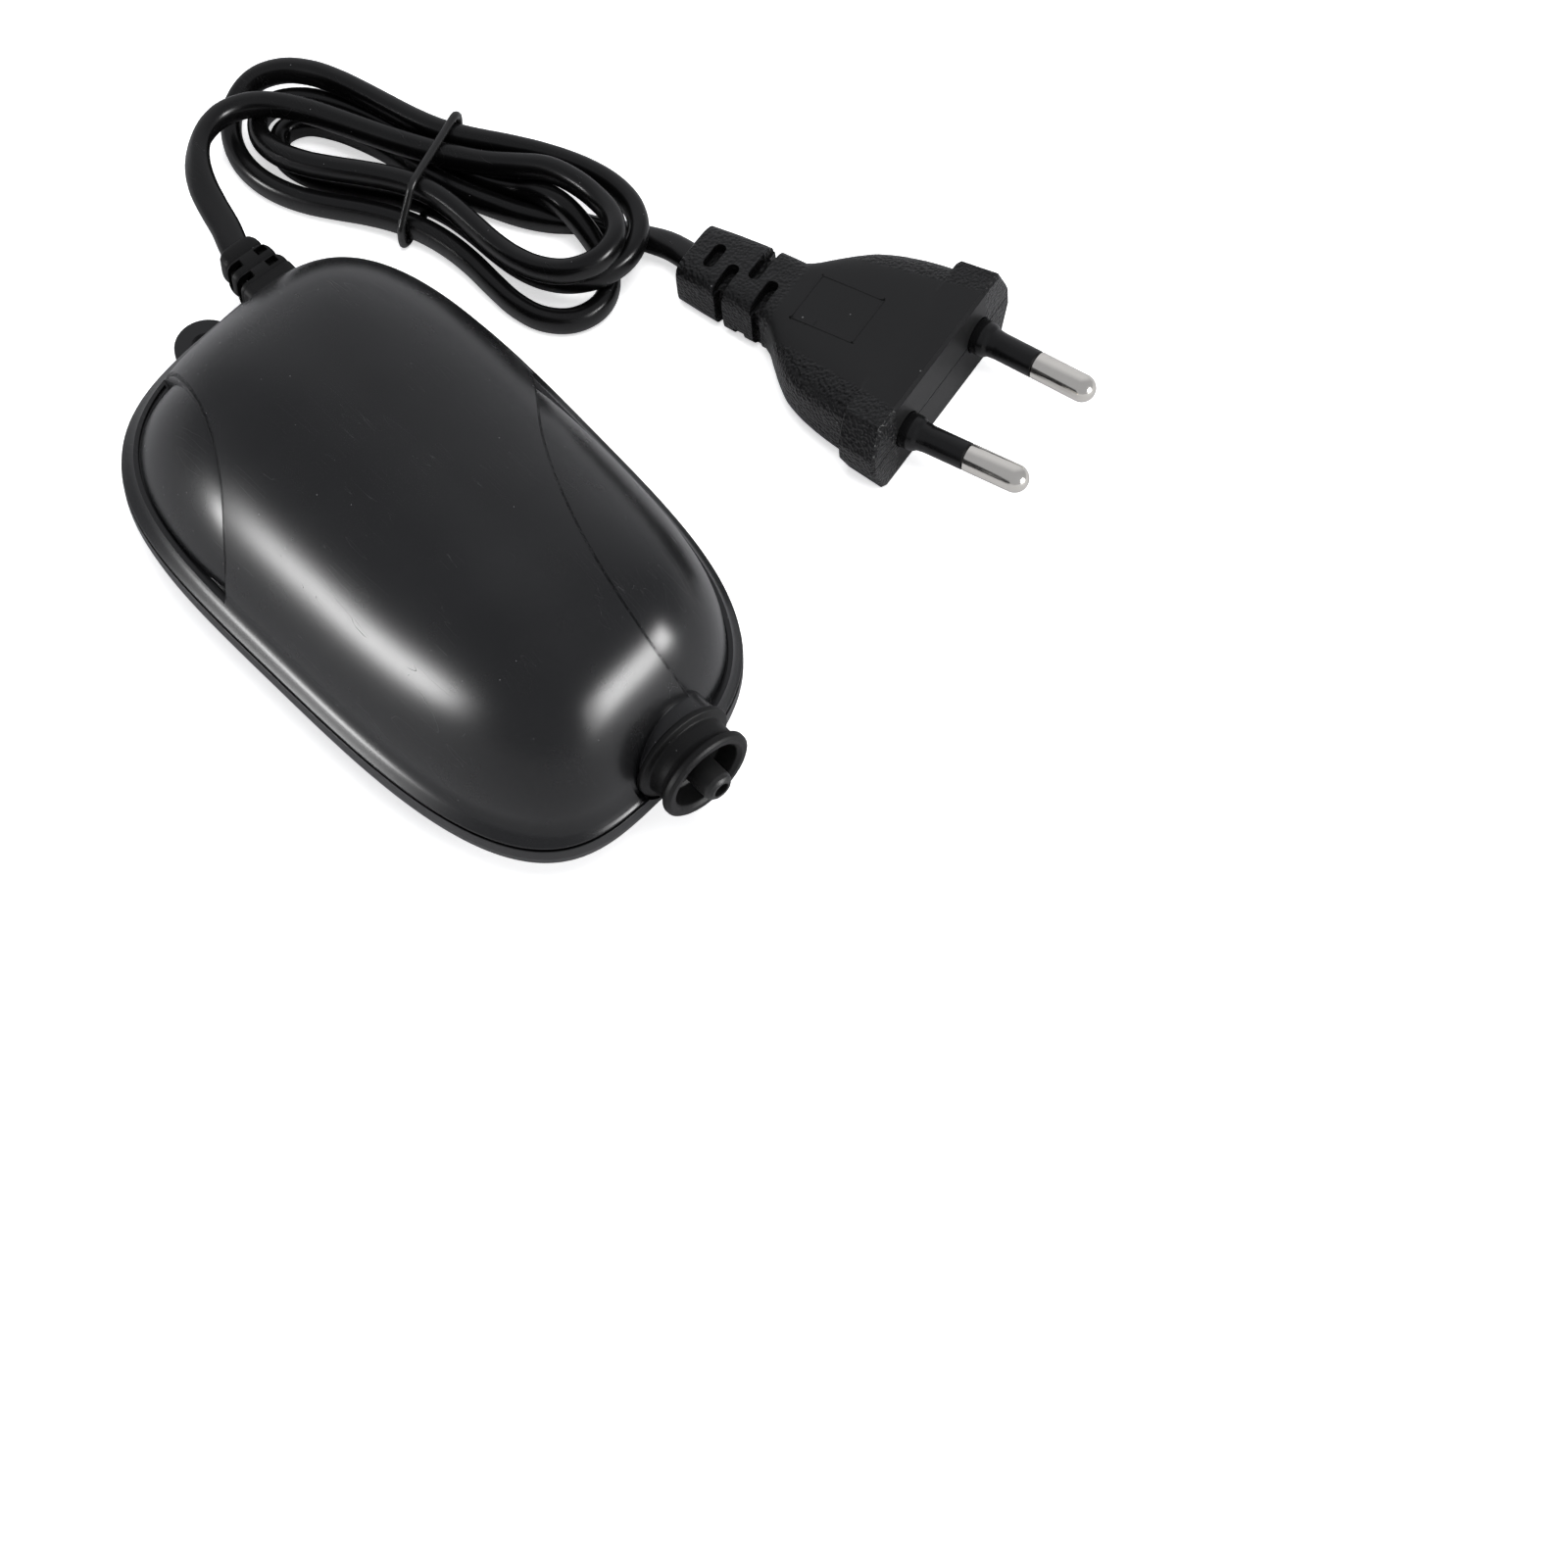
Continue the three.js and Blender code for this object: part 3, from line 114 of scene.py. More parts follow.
# Closed centre line of the tie round the cord bundle (x, y, z)
TIE = np.array([
    (46.20, 53.00, 8.15), (45.04, 52.50, 8.15), (43.88, 52.00, 8.15), (42.72, 51.50, 8.15),
    (41.56, 51.00, 8.15), (40.40, 50.50, 8.15), (39.24, 50.00, 8.15), (38.08, 49.50, 8.14),
    (36.92, 48.99, 8.14), (35.94, 48.57, 7.57), (35.24, 48.27, 6.56), (34.53, 47.96, 5.56),
    (33.83, 47.66, 4.55), (33.13, 47.36, 3.54), (32.54, 47.10, 2.47), (32.45, 47.07, 1.21),
    (32.45, 47.07, -0.05), (32.73, 47.19, -1.25), (33.66, 47.59, -1.92), (34.82, 48.09, -1.94),
    (35.98, 48.59, -1.94), (37.14, 49.09, -1.94), (38.29, 49.59, -1.94), (39.45, 50.09, -1.94),
    (40.61, 50.59, -1.94), (41.77, 51.09, -1.94), (42.93, 51.59, -1.94), (44.09, 52.09, -1.94),
    (45.25, 52.59, -1.94), (46.41, 53.09, -1.94), (47.42, 53.52, -1.41), (47.89, 53.72, -0.25),
    (48.28, 53.89, 0.93), (48.68, 54.07, 2.12), (49.08, 54.24, 3.31), (49.30, 54.33, 4.54),
    (49.30, 54.33, 5.80), (49.21, 54.29, 7.06), (48.51, 53.99, 8.03), (47.36, 53.50, 8.15)])


# ------------------------------------------------------------------ numeric helpers
def ease(t):
    """Smooth step from 0 to 1."""
    t = np.clip(t, 0.0, 1.0)
    return t * t * (3 - 2 * t)


def signed_power(value, power):
    return np.sign(value) * np.abs(value) ** power


def superellipse(t, exponent):
    """Unit superellipse at angle t."""
    return signed_power(np.cos(t), 2 / exponent), signed_power(np.sin(t), 2 / exponent)


def normalised(v):
    return v / np.linalg.norm(v, axis=-1, keepdims=True)


def signed_area(p):
    """Twice the area of a polygon, positive when anticlockwise."""
    return np.sum(p[:, 0] * np.roll(p[:, 1], -1) - np.roll(p[:, 0], -1) * p[:, 1])


def catmull(points, n, closed=False):
    """n points evenly spaced along a smooth curve through the given points."""
    P = np.asarray(points, float)
    if closed:
        Q = np.vstack([P[-1], P, P[0], P[1]])
    else:
        Q = np.vstack([2 * P[0] - P[1], P, 2 * P[-1] - P[-2]])
    curve = []
    for i in range(len(Q) - 3):
        p0, p1, p2, p3 = Q[i:i + 4]
        for t in np.linspace(0, 1, 12, endpoint=False):
            curve.append(0.5 * (2 * p1 + (p2 - p0) * t + (2 * p0 - 5 * p1 + 4 * p2 - p3) * t * t
                                + (3 * p1 - p0 - 3 * p2 + p3) * t ** 3))
    curve.append(Q[-2])
    curve = np.array(curve)
    run = np.r_[0, np.cumsum(np.linalg.norm(np.diff(curve, axis=0), axis=1))]
    at = np.linspace(0, run[-1], n + 1)[:-1] if closed else np.linspace(0, run[-1], n)
    return np.stack([np.interp(at, run, column) for column in curve.T], -1)


def monotone(knots, values, at):
    """Monotone cubic through (knots, values), read at the given places."""
    gap = np.diff(knots)
    rise = np.diff(values) / gap
    slope = np.zeros(len(values))
    slope[0], slope[-1] = rise[0], rise[-1]
    for i in range(1, len(values) - 1):
        a, b = rise[i - 1], rise[i]
        slope[i] = 0 if a * b <= 0 else 2 * a * b / (a + b)
    k = np.clip(np.searchsorted(knots, at, "right") - 1, 0, len(gap) - 1)
    t = (at - knots[k]) / gap[k]
    return ((2 * t ** 3 - 3 * t ** 2 + 1) * values[k]
            + (t ** 3 - 2 * t ** 2 + t) * gap[k] * slope[k]
            + (-2 * t ** 3 + 3 * t ** 2) * values[k + 1]
            + (t ** 3 - t ** 2) * gap[k] * slope[k + 1])


# ------------------------------------------------------------------ shapes as (verts, faces)
def grid_faces(rows, cols, closed=False):
    """Quads of a stack of rings; closed also joins the last ring to the first."""
    faces = []
    total = rows * cols
    for j in range(rows if closed else rows - 1):
        for i in range(cols):
            a = j * cols + i
            b = j * cols + (i + 1) % cols
            faces.append((a, b, (b + cols) % total, (a + cols) % total))
    return faces


def closed_stack(rings):
    """Rings [rows, cols, 3] joined up, with a fan over both ends."""
    rings = np.asarray(rings)
    rows, cols, _ = rings.shape
    first = rows * cols
    last = first + 1
    top = (rows - 1) * cols
    verts = np.vstack([rings.reshape(-1, 3), rings[0].mean(0), rings[-1].mean(0)])
    faces = grid_faces(rows, cols)
    faces += [(first, (i + 1) % cols, i) for i in range(cols)]
    faces += [(last, top + i, top + (i + 1) % cols) for i in range(cols)]
    return verts, faces


def sweep(path, across, up, xs, ys, scale=1.0):
    """Rings of the section (xs, ys) carried along a path."""
    section = across[:, None, :] * xs[None, :, None] + up[:, None, :] * ys[None, :, None]
    return path[:, None, :] + scale * section


def lathe(profile, n=96, axis="z", at=(0, 0, 0)):
    """Turns a profile of (radius, height) pairs, closed or running from axis to axis."""
    profile = np.array(profile, float)
    closed = np.allclose(profile[0], profile[-1])
    if closed:
        profile = profile[:-1]
    if signed_area(profile) < 0:
        profile = profile[::-1]
    verts, rings, faces = [], [], []
    for radius, height in profile:
        start = len(verts)
        if radius < 1e-9:
            verts.append((0, 0, height))
            rings.append([start] * n)
        else:
            for i in range(n):
                t = 2 * pi * i / n
                verts.append((radius * cos(t), radius * sin(t), height))
            rings.append(list(range(start, start + n)))
    count = len(profile)
    for j in range(count if closed else count - 1):
        a, b = rings[j], rings[(j + 1) % count]
        for i in range(n):
            k = (i + 1) % n
            corners = tuple(dict.fromkeys((a[i], a[k], b[k], b[i])))
            if len(corners) > 2:
                faces.append(corners)
    verts = np.array(verts, float)
    if axis == "-y":
        verts = np.stack([verts[:, 0], -verts[:, 2], verts[:, 1]], -1)
    elif axis == "x":
        verts = verts[:, [2, 0, 1]]
    return verts + np.array(at, float), faces


def cylinder(radius, start, end, n=72, axis="z", at=(0, 0, 0)):
    return lathe([(0, start), (radius, start), (radius, end), (0, end)], n, axis, at)


def fillet(points, radii, seg=5):
    """Rounds the corners of an open polyline; radii is one value or one per point."""
    P = [np.array(p, float) for p in points]
    radii = np.broadcast_to(radii, len(P))
    out = [P[0]]
    for i in range(1, len(P) - 1):
        corner = P[i]
        u, v = P[i - 1] - corner, P[i + 1] - corner
        u_len, v_len = np.linalg.norm(u), np.linalg.norm(v)
        if radii[i] <= 0 or min(u_len, v_len) < 1e-6:
            out.append(corner)
            continue
        u, v = u / u_len, v / v_len
        angle = np.arccos(np.clip(u @ v, -1, 1))
        if angle > pi - 0.03:
            out.append(corner)
            continue
        cut = min(radii[i] / np.tan(angle / 2), u_len * 0.48, v_len * 0.48)
        p0, p1 = corner + u * cut, corner + v * cut
        for k in range(seg + 1):
            t = k / seg
            out.append((1 - t) ** 2 * p0 + 2 * t * (1 - t) * corner + t * t * p1)
    out.append(P[-1])
    return [tuple(p) for p in out]


def box(x0, x1, y0, y1, z0, z1):
    verts = np.array([(x, y, z) for z in (z0, z1) for y in (y0, y1) for x in (x0, x1)], float)
    faces = [(0, 2, 3, 1), (4, 5, 7, 6), (0, 1, 5, 4), (2, 6, 7, 3), (0, 4, 6, 2), (1, 3, 7, 5)]
    return verts, faces


def prism(polygon, z0, z1):
    p = np.array(polygon, float)
    if signed_area(p) < 0:
        p = p[::-1]
    n = len(p)
    verts = np.vstack([np.c_[p, np.full(n, z0)], np.c_[p, np.full(n, z1)]])
    faces = [tuple(range(n - 1, -1, -1)), tuple(range(n, 2 * n))]
    faces += [(i, (i + 1) % n, n + (i + 1) % n, n + i) for i in range(n)]
    return verts, faces


def prism_x(polygon, x0, x1):
    """Prism along x from a polygon in (y, z)."""
    verts, faces = prism(polygon, x0, x1)
    return verts[:, [2, 0, 1]], faces


def rounded_rect(w, h, r, seg=8):
    points = []
    for sx, sy, start in ((1, 1, 0), (-1, 1, 90), (-1, -1, 180), (1, -1, 270)):
        for i in range(seg + 1):
            a = radians(start + 90 * i / seg)
            points.append((sx * (w / 2 - r) + r * cos(a), sy * (h / 2 - r) + r * sin(a)))
    return points


def reversed_faces(faces):
    return [tuple(reversed(face)) for face in faces]


def boot_bar(w, h, y0, y1, r=1.3):
    """Rounded bar along y on the axis of the strain relief."""
    verts, faces = prism(rounded_rect(w, h, r), 0, y1 - y0)
    verts = np.stack([verts[:, 0] + BOOT_X, y0 + verts[:, 2], verts[:, 1] + PARTING_Z], -1)
    return verts, reversed_faces(faces)


# ------------------------------------------------------------------ objects
def shade(obj, smooth=True, angle=None):
    mesh = obj.data
    mesh.polygons.foreach_set("use_smooth", [smooth] * len(mesh.polygons))
    if angle is not None:
        mesh.set_sharp_from_angle(angle=radians(angle))
    mesh.update()


def make(name, verts, faces, smooth=True, angle=None, material=None):
    """Object from a millimetre mesh; angle (degrees) marks sharp edges."""
    mesh = bpy.data.meshes.new(name)
    points = [tuple(map(float, v)) for v in np.asarray(verts) * 0.001]
    mesh.from_pydata(points, [], [tuple(int(i) for i in face) for face in faces])
    mesh.validate()
    mesh.update()
    obj = bpy.data.objects.new(name, mesh)
    bpy.context.scene.collection.objects.link(obj)
    if material:
        mesh.materials.append(material)
    shade(obj, smooth, angle)
    return obj


def boolean(obj, tools, operation="DIFFERENCE"):
    """Applies booleans in turn; a tool is an object or (verts, faces), and is used up."""
    for tool in tools:
        if not isinstance(tool, bpy.types.Object):
            tool = make("tool", *tool, smooth=False)
        modifier = obj.modifiers.new("b", "BOOLEAN")
        modifier.operation = operation
        modifier.object = tool
        modifier.solver = "MANIFOLD"
        graph = bpy.context.evaluated_depsgraph_get()
        mesh = bpy.data.meshes.new_from_object(obj.evaluated_get(graph), depsgraph=graph)
        obj.modifiers.clear()
        old = obj.data
        obj.data = mesh
        mesh.name = obj.name
        bpy.data.meshes.remove(old)
        tool_mesh = tool.data
        bpy.data.objects.remove(tool)
        bpy.data.meshes.remove(tool_mesh)


def dress(obj, material, angle):
    """Single material and shading for a piece made with booleans."""
    obj.data.materials.clear()
    obj.data.materials.append(material)
    shade(obj, True, angle)


def edge_bevel(obj, width):
    modifier = obj.modifiers.new("edge", "BEVEL")
    modifier.width = width * 0.001
    modifier.segments = 2
    modifier.limit_method = "ANGLE"
    modifier.angle_limit = radians(40)
    modifier.harden_normals = False


def place(obj, replaced):
    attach(obj, "base")
    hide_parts(replaced)


# ------------------------------------------------------------------ shader helpers
def rgba(value):
    """Grey level or RGB as RGBA; sockets pass through."""
    if isinstance(value, bpy.types.NodeSocket):
        return value
    return (value, value, value, 1) if np.isscalar(value) else (*value, 1)


class Nodes:
    """Node tree of a material or world. Inputs take plain values or sockets."""

    def __init__(self, owner):
        self.owner = owner
        owner.use_nodes = True
        self.tree = owner.node_tree
        self.tree.nodes.clear()

    def feed(self, socket, value):
        if isinstance(value, bpy.types.NodeSocket):
            self.tree.links.new(value, socket)
        elif value is not None:
            socket.default_value = value

    def add(self, kind, inputs=None, **settings):
        node = self.tree.nodes.new("ShaderNode" + kind)
        for key, value in settings.items():
            setattr(node, key, value)
        for key, value in (inputs or {}).items():
            self.feed(node.inputs[key], value)
        return node

    def ramp(self, fac, *stops):
        """Colour ramp between two (position, colour) stops."""
        node = self.add("ValToRGB", {0: fac})
        for element, (position, colour) in zip(node.color_ramp.elements, stops):
            element.position = position
            element.color = rgba(colour)
        return node.outputs[0]

    def mix(self, fac, a, b):
        return self.add("Mix", {0: fac, 6: rgba(a), 7: rgba(b)}, data_type="RGBA").outputs[2]

    def split(self, vector):
        return self.add("SeparateXYZ", {0: vector}).outputs


class Look(Nodes):
    """Material built round one Principled shader, textured in object coordinates."""

    SOCKETS = {"color": "Base Color", "rough": "Roughness", "metal": "Metallic",
               "normal": "Normal", "spec": "Specular IOR Level", "sheen": "Sheen Weight",
               "glow": "Emission Color", "glow_strength": "Emission Strength"}

    def __init__(self, name):
        super().__init__(bpy.data.materials.new(name))
        output = self.add("OutputMaterial")
        self.shader = self.add("BsdfPrincipled")
        self.feed(output.inputs[0], self.shader.outputs[0])
        self.coords = self.add("TexCoord").outputs["Object"]

    def surface(self, **values):
        """Sets the shader's inputs and returns the material."""
        for key, value in values.items():
            self.feed(self.shader.inputs[self.SOCKETS[key]], value)
        return self.owner

    def mapping(self, scale=(1, 1, 1), turn=(0, 0, 0)):
        inputs = {"Vector": self.coords, "Scale": scale, "Rotation": turn}
        return self.add("Mapping", inputs).outputs[0]

    def noise(self, scale, detail, rough, vector=None):
        inputs = {"Scale": scale, "Detail": detail, "Roughness": rough,
                  "Vector": vector or self.coords}
        return self.add("TexNoise", inputs).outputs["Fac"]

    def voronoi(self, scale, output="Distance", feature="F1"):
        inputs = {"Scale": scale, "Vector": self.coords}
        return self.add("TexVoronoi", inputs, feature=feature).outputs[output]

    def math(self, operation, a, b=0.0):
        return self.add("Math", {0: a, 1: b, 2: 0.0}, operation=operation).outputs[0]

    def scaled(self, value, factor, offset):
        return self.math("ADD", self.math("MULTIPLY", value, factor), offset)

    def bump(self, height, strength, distance, normal=None):
        inputs = {"Strength": strength, "Distance": distance, "Height": height,
                  "Normal": normal}
        return self.add("Bump", inputs).outputs[0]

    def soft(self, radius):
        """Normal that rounds edges by a radius in millimetres; none for zero."""
        if not radius:
            return None
        return self.add("Bevel", {"Radius": radius * 0.001}, samples=4).outputs[0]

    def specks(self, scale, channel, above, radius):
        """Dots in those cells whose random channel is above a threshold."""
        distance = self.voronoi(scale)
        pick = self.split(self.voronoi(scale, "Color"))[channel]
        return self.math("MULTIPLY", self.math("GREATER_THAN", pick, above),
                         self.math("LESS_THAN", distance, radius))

    def stripes(self, coordinate, per_metre):
        """Folded sawtooth, 0 to 0.5, repeated along one coordinate."""
        saw = self.math("FRACT", self.math("MULTIPLY", coordinate, per_metre))
        return self.math("ABSOLUTE", self.math("SUBTRACT", saw, 0.5))


# ------------------------------------------------------------------ materials
# Each scratch set: turn about z, noise scale of the lines, noise scale of their patches
SCRATCHES = ((0.6, 810, 70), (2.1, 1260, 100))


def moulded(name, dark, light, rough, grain_scale, grain,
            dust=0.0, edge=0.0, scratches=False, rough_var=0.06, spec=0.5):
    """Moulded plastic or rubber: colour clouding, fine grain, dust specks, fine scratches.

    dust is the share of cells with a speck, edge the rounding of edges in millimetres.
    """
    look = Look(name)
    cloud = look.ramp(look.noise(60, 4, 0.55), (0.35, 0.0), (0.7, 1.0))
    color = look.mix(cloud, dark, light)
    roughness = look.scaled(look.noise(160, 5, 0.6), rough_var * 2, rough - rough_var)
    if dust:
        big = look.specks(scale=420, channel=0, above=1.0 - dust, radius=0.055)
        small = look.specks(scale=1500, channel=1, above=1.0 - dust * 0.6, radius=0.11)
        spots = look.math("MAXIMUM", big, small)
        color = look.mix(look.math("MULTIPLY", spots, 0.32), color, (0.30, 0.30, 0.31))
        roughness = look.math("ADD", roughness, look.math("MULTIPLY", spots, 0.4))
    if scratches:
        for turn, line_scale, patch_scale in SCRATCHES:
            vector = look.mapping(scale=(1.0, 0.06, 0.3), turn=(0.2, 0.1, turn))
            streaks = look.noise(line_scale, 1.0, 0.3, vector)
            off = look.math("ABSOLUTE", look.math("SUBTRACT", streaks, 0.5))
            line = look.math("LESS_THAN", off, 0.0022)
            patch = look.math("GREATER_THAN", look.noise(patch_scale, 1.0, 0.5), 0.60)
            line = look.math("MULTIPLY", line, patch)
            color = look.mix(look.math("MULTIPLY", line, 0.05), color, (0.22, 0.22, 0.23))
            roughness = look.math("ADD", roughness, look.math("MULTIPLY", line, 0.10))
    normal = look.bump(look.noise(grain_scale, 4, 0.6), grain, 0.00006, look.soft(edge))
    return look.surface(color=color, rough=roughness, spec=spec, normal=normal)


def metal(name, dark, light, rough, noise_scale, bump, edge=0.0):
    look = Look(name)
    clouds = look.noise(noise_scale, 5, 0.65, look.mapping())
    return look.surface(color=look.mix(clouds, dark, light), metal=1.0,
                        rough=look.scaled(clouds, 0.16, rough - 0.08),
                        normal=look.bump(clouds, bump, 0.00003, look.soft(edge)))


def laminated_core():
    """Dark steel with a groove every 0.5 mm of height."""
    look = Look("laminated_core")
    lines = look.stripes(look.split(look.coords)[2], per_metre=2000.0)
    clouds = look.noise(700, 5, 0.6)
    grooves = look.ramp(lines, (0.30, 1.0), (0.5, 0.0))
    return look.surface(color=look.mix(clouds, (0.10, 0.10, 0.11), (0.26, 0.25, 0.25)),
                        metal=0.8, rough=look.scaled(clouds, 0.3, 0.32),
                        normal=look.bump(grooves, strength=0.8, distance=0.0001))


def enamelled_wire():
    """Copper turns side by side along y."""
    look = Look("enamelled_wire")
    turns = look.stripes(look.split(look.coords)[1], per_metre=3300.0)
    clouds = look.noise(500, 4, 0.6)
    ridges = look.ramp(turns, (0.0, 1.0), (0.5, 0.0))
    return look.surface(color=look.mix(clouds, (0.24, 0.055, 0.018), (0.50, 0.16, 0.05)),
                        metal=0.55, rough=0.28,
                        normal=look.bump(ridges, strength=1.0, distance=0.00012))


def fibre_felt():
    look = Look("fibre_felt")
    clouds = look.noise(900, 8, 0.75)
    stretched = look.mapping(scale=(1, 0.25, 0.6), turn=(0.3, 0.2, 0.9))
    fibres = look.math("ADD", clouds, look.noise(2600, 3, 0.7, stretched))
    return look.surface(color=look.mix(clouds, (0.55, 0.54, 0.50), (0.80, 0.79, 0.75)),
                        rough=0.95, sheen=0.4,
                        normal=look.bump(fibres, strength=0.9, distance=0.0003))


def plug_pvc():
    """Leather grain on the sides and tail, smooth faces; reads the local_mm attribute."""
    look = Look("plug_pvc")
    local = look.add("Attribute", attribute_name="local_mm").outputs["Vector"]
    along, across, _ = look.split(local)
    border = look.scaled(along, 0.14, 11.2)
    beyond = look.math("SUBTRACT", look.math("ABSOLUTE", across), border)
    sides = look.math("MULTIPLY", look.ramp(beyond, (0.0, 0.0), (0.8, 1.0)), 1.0)
    behind = look.math("MULTIPLY", look.math("ADD", along, 24.0), -1.0)
    tail = look.ramp(behind, (0.0, 0.0), (1.0, 1.0))
    grained = look.math("MAXIMUM", sides, look.math("MULTIPLY", tail, 0.75))
    leather = look.math("ADD",
                        look.math("MULTIPLY", look.voronoi(2300, feature="SMOOTH_F1"), 1.3),
                        look.math("MULTIPLY", look.noise(2600, 3, 0.6), 0.35))
    fine = look.bump(look.noise(3400, 3, 0.6), strength=0.10, distance=0.00005)
    normal = look.bump(leather, look.math("MULTIPLY", grained, 1.0), 0.00032, fine)
    dust = look.specks(scale=420, channel=0, above=0.93, radius=0.06)
    color = look.mix(look.noise(80, 4, 0.5), (0.0032, 0.0032, 0.0033), (0.0056, 0.0056, 0.0058))
    return look.surface(color=look.mix(look.math("MULTIPLY", dust, 0.4), color, 0.3),
                        rough=look.scaled(grained, -0.12, 0.44), normal=normal, spec=0.38)


gloss = moulded("gloss_abs", dark=(0.0036, 0.0037, 0.0041), light=(0.0056, 0.0057, 0.0062),
                rough=0.27, grain_scale=3200, grain=0.020, dust=0.03, edge=0.12,
                scratches=True, rough_var=0.014)
satin = moulded("satin_abs", dark=(0.0036, 0.0037, 0.0040), light=(0.0058, 0.0059, 0.0063),
                rough=0.36, grain_scale=2600, grain=0.10, dust=0.03, edge=0.15)
rubber = moulded("rubber_black", dark=0.0022, light=0.0048, rough=0.50, grain_scale=2400,
                 grain=0.45, dust=0.07, edge=0.10, rough_var=0.10, spec=0.27)
cord_pvc = moulded("cord_pvc", dark=(0.0014, 0.0014, 0.0015), light=(0.0028, 0.0028, 0.0029),
                   rough=0.25, grain_scale=1800, grain=0.08, dust=0.05, rough_var=0.04,
                   scratches=True, spec=0.40)
tie_plastic = moulded("tie_plastic", dark=0.006, light=0.010, rough=0.25,
                      grain_scale=1500, grain=0.08)

# Material for each slot of the pieces kept from the frame
SLOT_MATERIALS = {
    "gloss_plastic_black": gloss,
    "case_plastic_black": satin,
    "rubber_black": rubber,
    "pvc_black": cord_pvc,
    "nylon_dark": moulded("nylon_dark", dark=0.005, light=0.008, rough=0.45,
                          grain_scale=2200, grain=0.15, edge=0.15),
    "nylon_white": moulded("nylon_white", dark=(0.68, 0.66, 0.60), light=(0.80, 0.78, 0.72),
                           rough=0.42, grain_scale=2200, grain=0.10, edge=0.12),
    "steel_zinc": metal("zinc_steel", dark=(0.46, 0.47, 0.49), light=(0.66, 0.67, 0.69),
                        rough=0.30, noise_scale=900, bump=0.05, edge=0.06),
    "nickel": metal("nickel_plate", dark=(0.86, 0.83, 0.77), light=(0.95, 0.92, 0.86),
                    rough=0.16, noise_scale=500, bump=0.03),
    "ferrite": metal("ferrite", dark=(0.05, 0.05, 0.055), light=(0.10, 0.10, 0.11),
                     rough=0.60, noise_scale=1500, bump=0.4, edge=0.15),
    "wire_blue": moulded("wire_blue", dark=(0.02, 0.09, 0.34), light=(0.03, 0.12, 0.42),
                         rough=0.42, grain_scale=1500, grain=0.1),
    "wire_brown": moulded("wire_brown", dark=(0.12, 0.05, 0.02), light=(0.17, 0.07, 0.03),
                          rough=0.42, grain_scale=1500, grain=0.1),
    "lamination_steel": laminated_core(),
    "copper_enamel": enamelled_wire(),
    "felt_white": fibre_felt()}

for part in frame["record"]["subparts"]:
    node = NODES[part["node"]]
    material = SLOT_MATERIALS[part["material_slot"]]
    if not node.material_slots:
        node.data.materials.append(material)
    for slot in node.material_slots:
        slot.material = material


# ------------------------------------------------------------------ housing surfaces
def plan(t, half_width, half_length, rho=1.0):
    """Tapered, skewed superellipse at angle t, shrunk to the fraction rho."""
    u, v = superellipse(t, SQUARENESS)
    x = rho * half_width * u * (1 + TAPER * rho * v)
    return x, rho * half_length * v + SKEW * x * (rho * v) ** 2


def even_angles(n):
    """Angles of n points evenly spaced round the housing."""
    t = np.linspace(0, 2 * pi, 40001)
    x, y = plan(t, HALF_WIDTH, HALF_LENGTH)
    run = np.r_[0, np.cumsum(np.hypot(np.diff(x), np.diff(y)))]
    return np.interp(np.linspace(0, run[-1], n + 1)[:-1], run, t)


ANGLES = even_angles(560)
CROWN_STEPS = (1 - np.linspace(0, 1, 130) ** 1.9)[:-1]      # base ring towards the top


def ring(t, inset, z):
    x, y = plan(t, HALF_WIDTH - inset, HALF_LENGTH - inset)
    return np.stack([x, y, np.full_like(x, z)], -1)


def crown_half_length(v):
    return np.where(v < 0, CROWN_FRONT, CROWN_REAR)


def crown_plan(t, inset=0.0, rho=1.0):
    v = superellipse(t, SQUARENESS)[1]
    return plan(t, CROWN_HALF_WIDTH - inset, crown_half_length(v) - inset, rho)


def crown_rise(side, rho, v):
    """Share of the crown's height; side is 1 facing the flanks and 0 facing the ends."""
    fall = side * rho ** SIDE_FALL + (1 - side) * rho ** np.where(v < 0, FRONT_FALL, REAR_FALL)
    power = EDGE_POWER + (1 - EDGE_POWER) * (1 - side) * (v > 0)
    return np.clip(1 - fall, 0, 1) ** power


def crown(t, rho, inset=0.0):
    """Crown of the cover at angle t and fraction rho."""
    u, v = superellipse(t, SQUARENESS)
    x, y = crown_plan(t, inset, rho)
    rise = crown_rise(np.abs(u) ** SQUARENESS, rho, v)
    return np.stack([x, y, CROWN_Z + (CROWN_HEIGHT - inset) * rise], -1)


def crown_z(x, y):
    """Height of the crown above a point of the plan; just below its base outside."""
    straight = y
    for _ in range(8):
        straight = y - SKEW * x * (straight / crown_half_length(straight)) ** 2
    v = straight / crown_half_length(straight)
    u = x / (CROWN_HALF_WIDTH * (1 + TAPER * v))
    rho = (np.abs(u) ** SQUARENESS + np.abs(v) ** SQUARENESS) ** (1 / SQUARENESS) + 1e-9
    rise = crown_rise(np.abs(u) ** SQUARENESS / rho ** SQUARENESS, rho, v)
    return np.where(rise > 0, CROWN_Z + CROWN_HEIGHT * rise, CROWN_Z - 2.0)


def crown_rows():
    return np.array([crown(ANGLES, rho) for rho in CROWN_STEPS])


def grid_normals(P):
    n = np.cross(np.roll(P, -1, 1) - np.roll(P, 1, 1), np.gradient(P, axis=0))
    n /= np.linalg.norm(n, axis=2, keepdims=True) + 1e-12
    return n


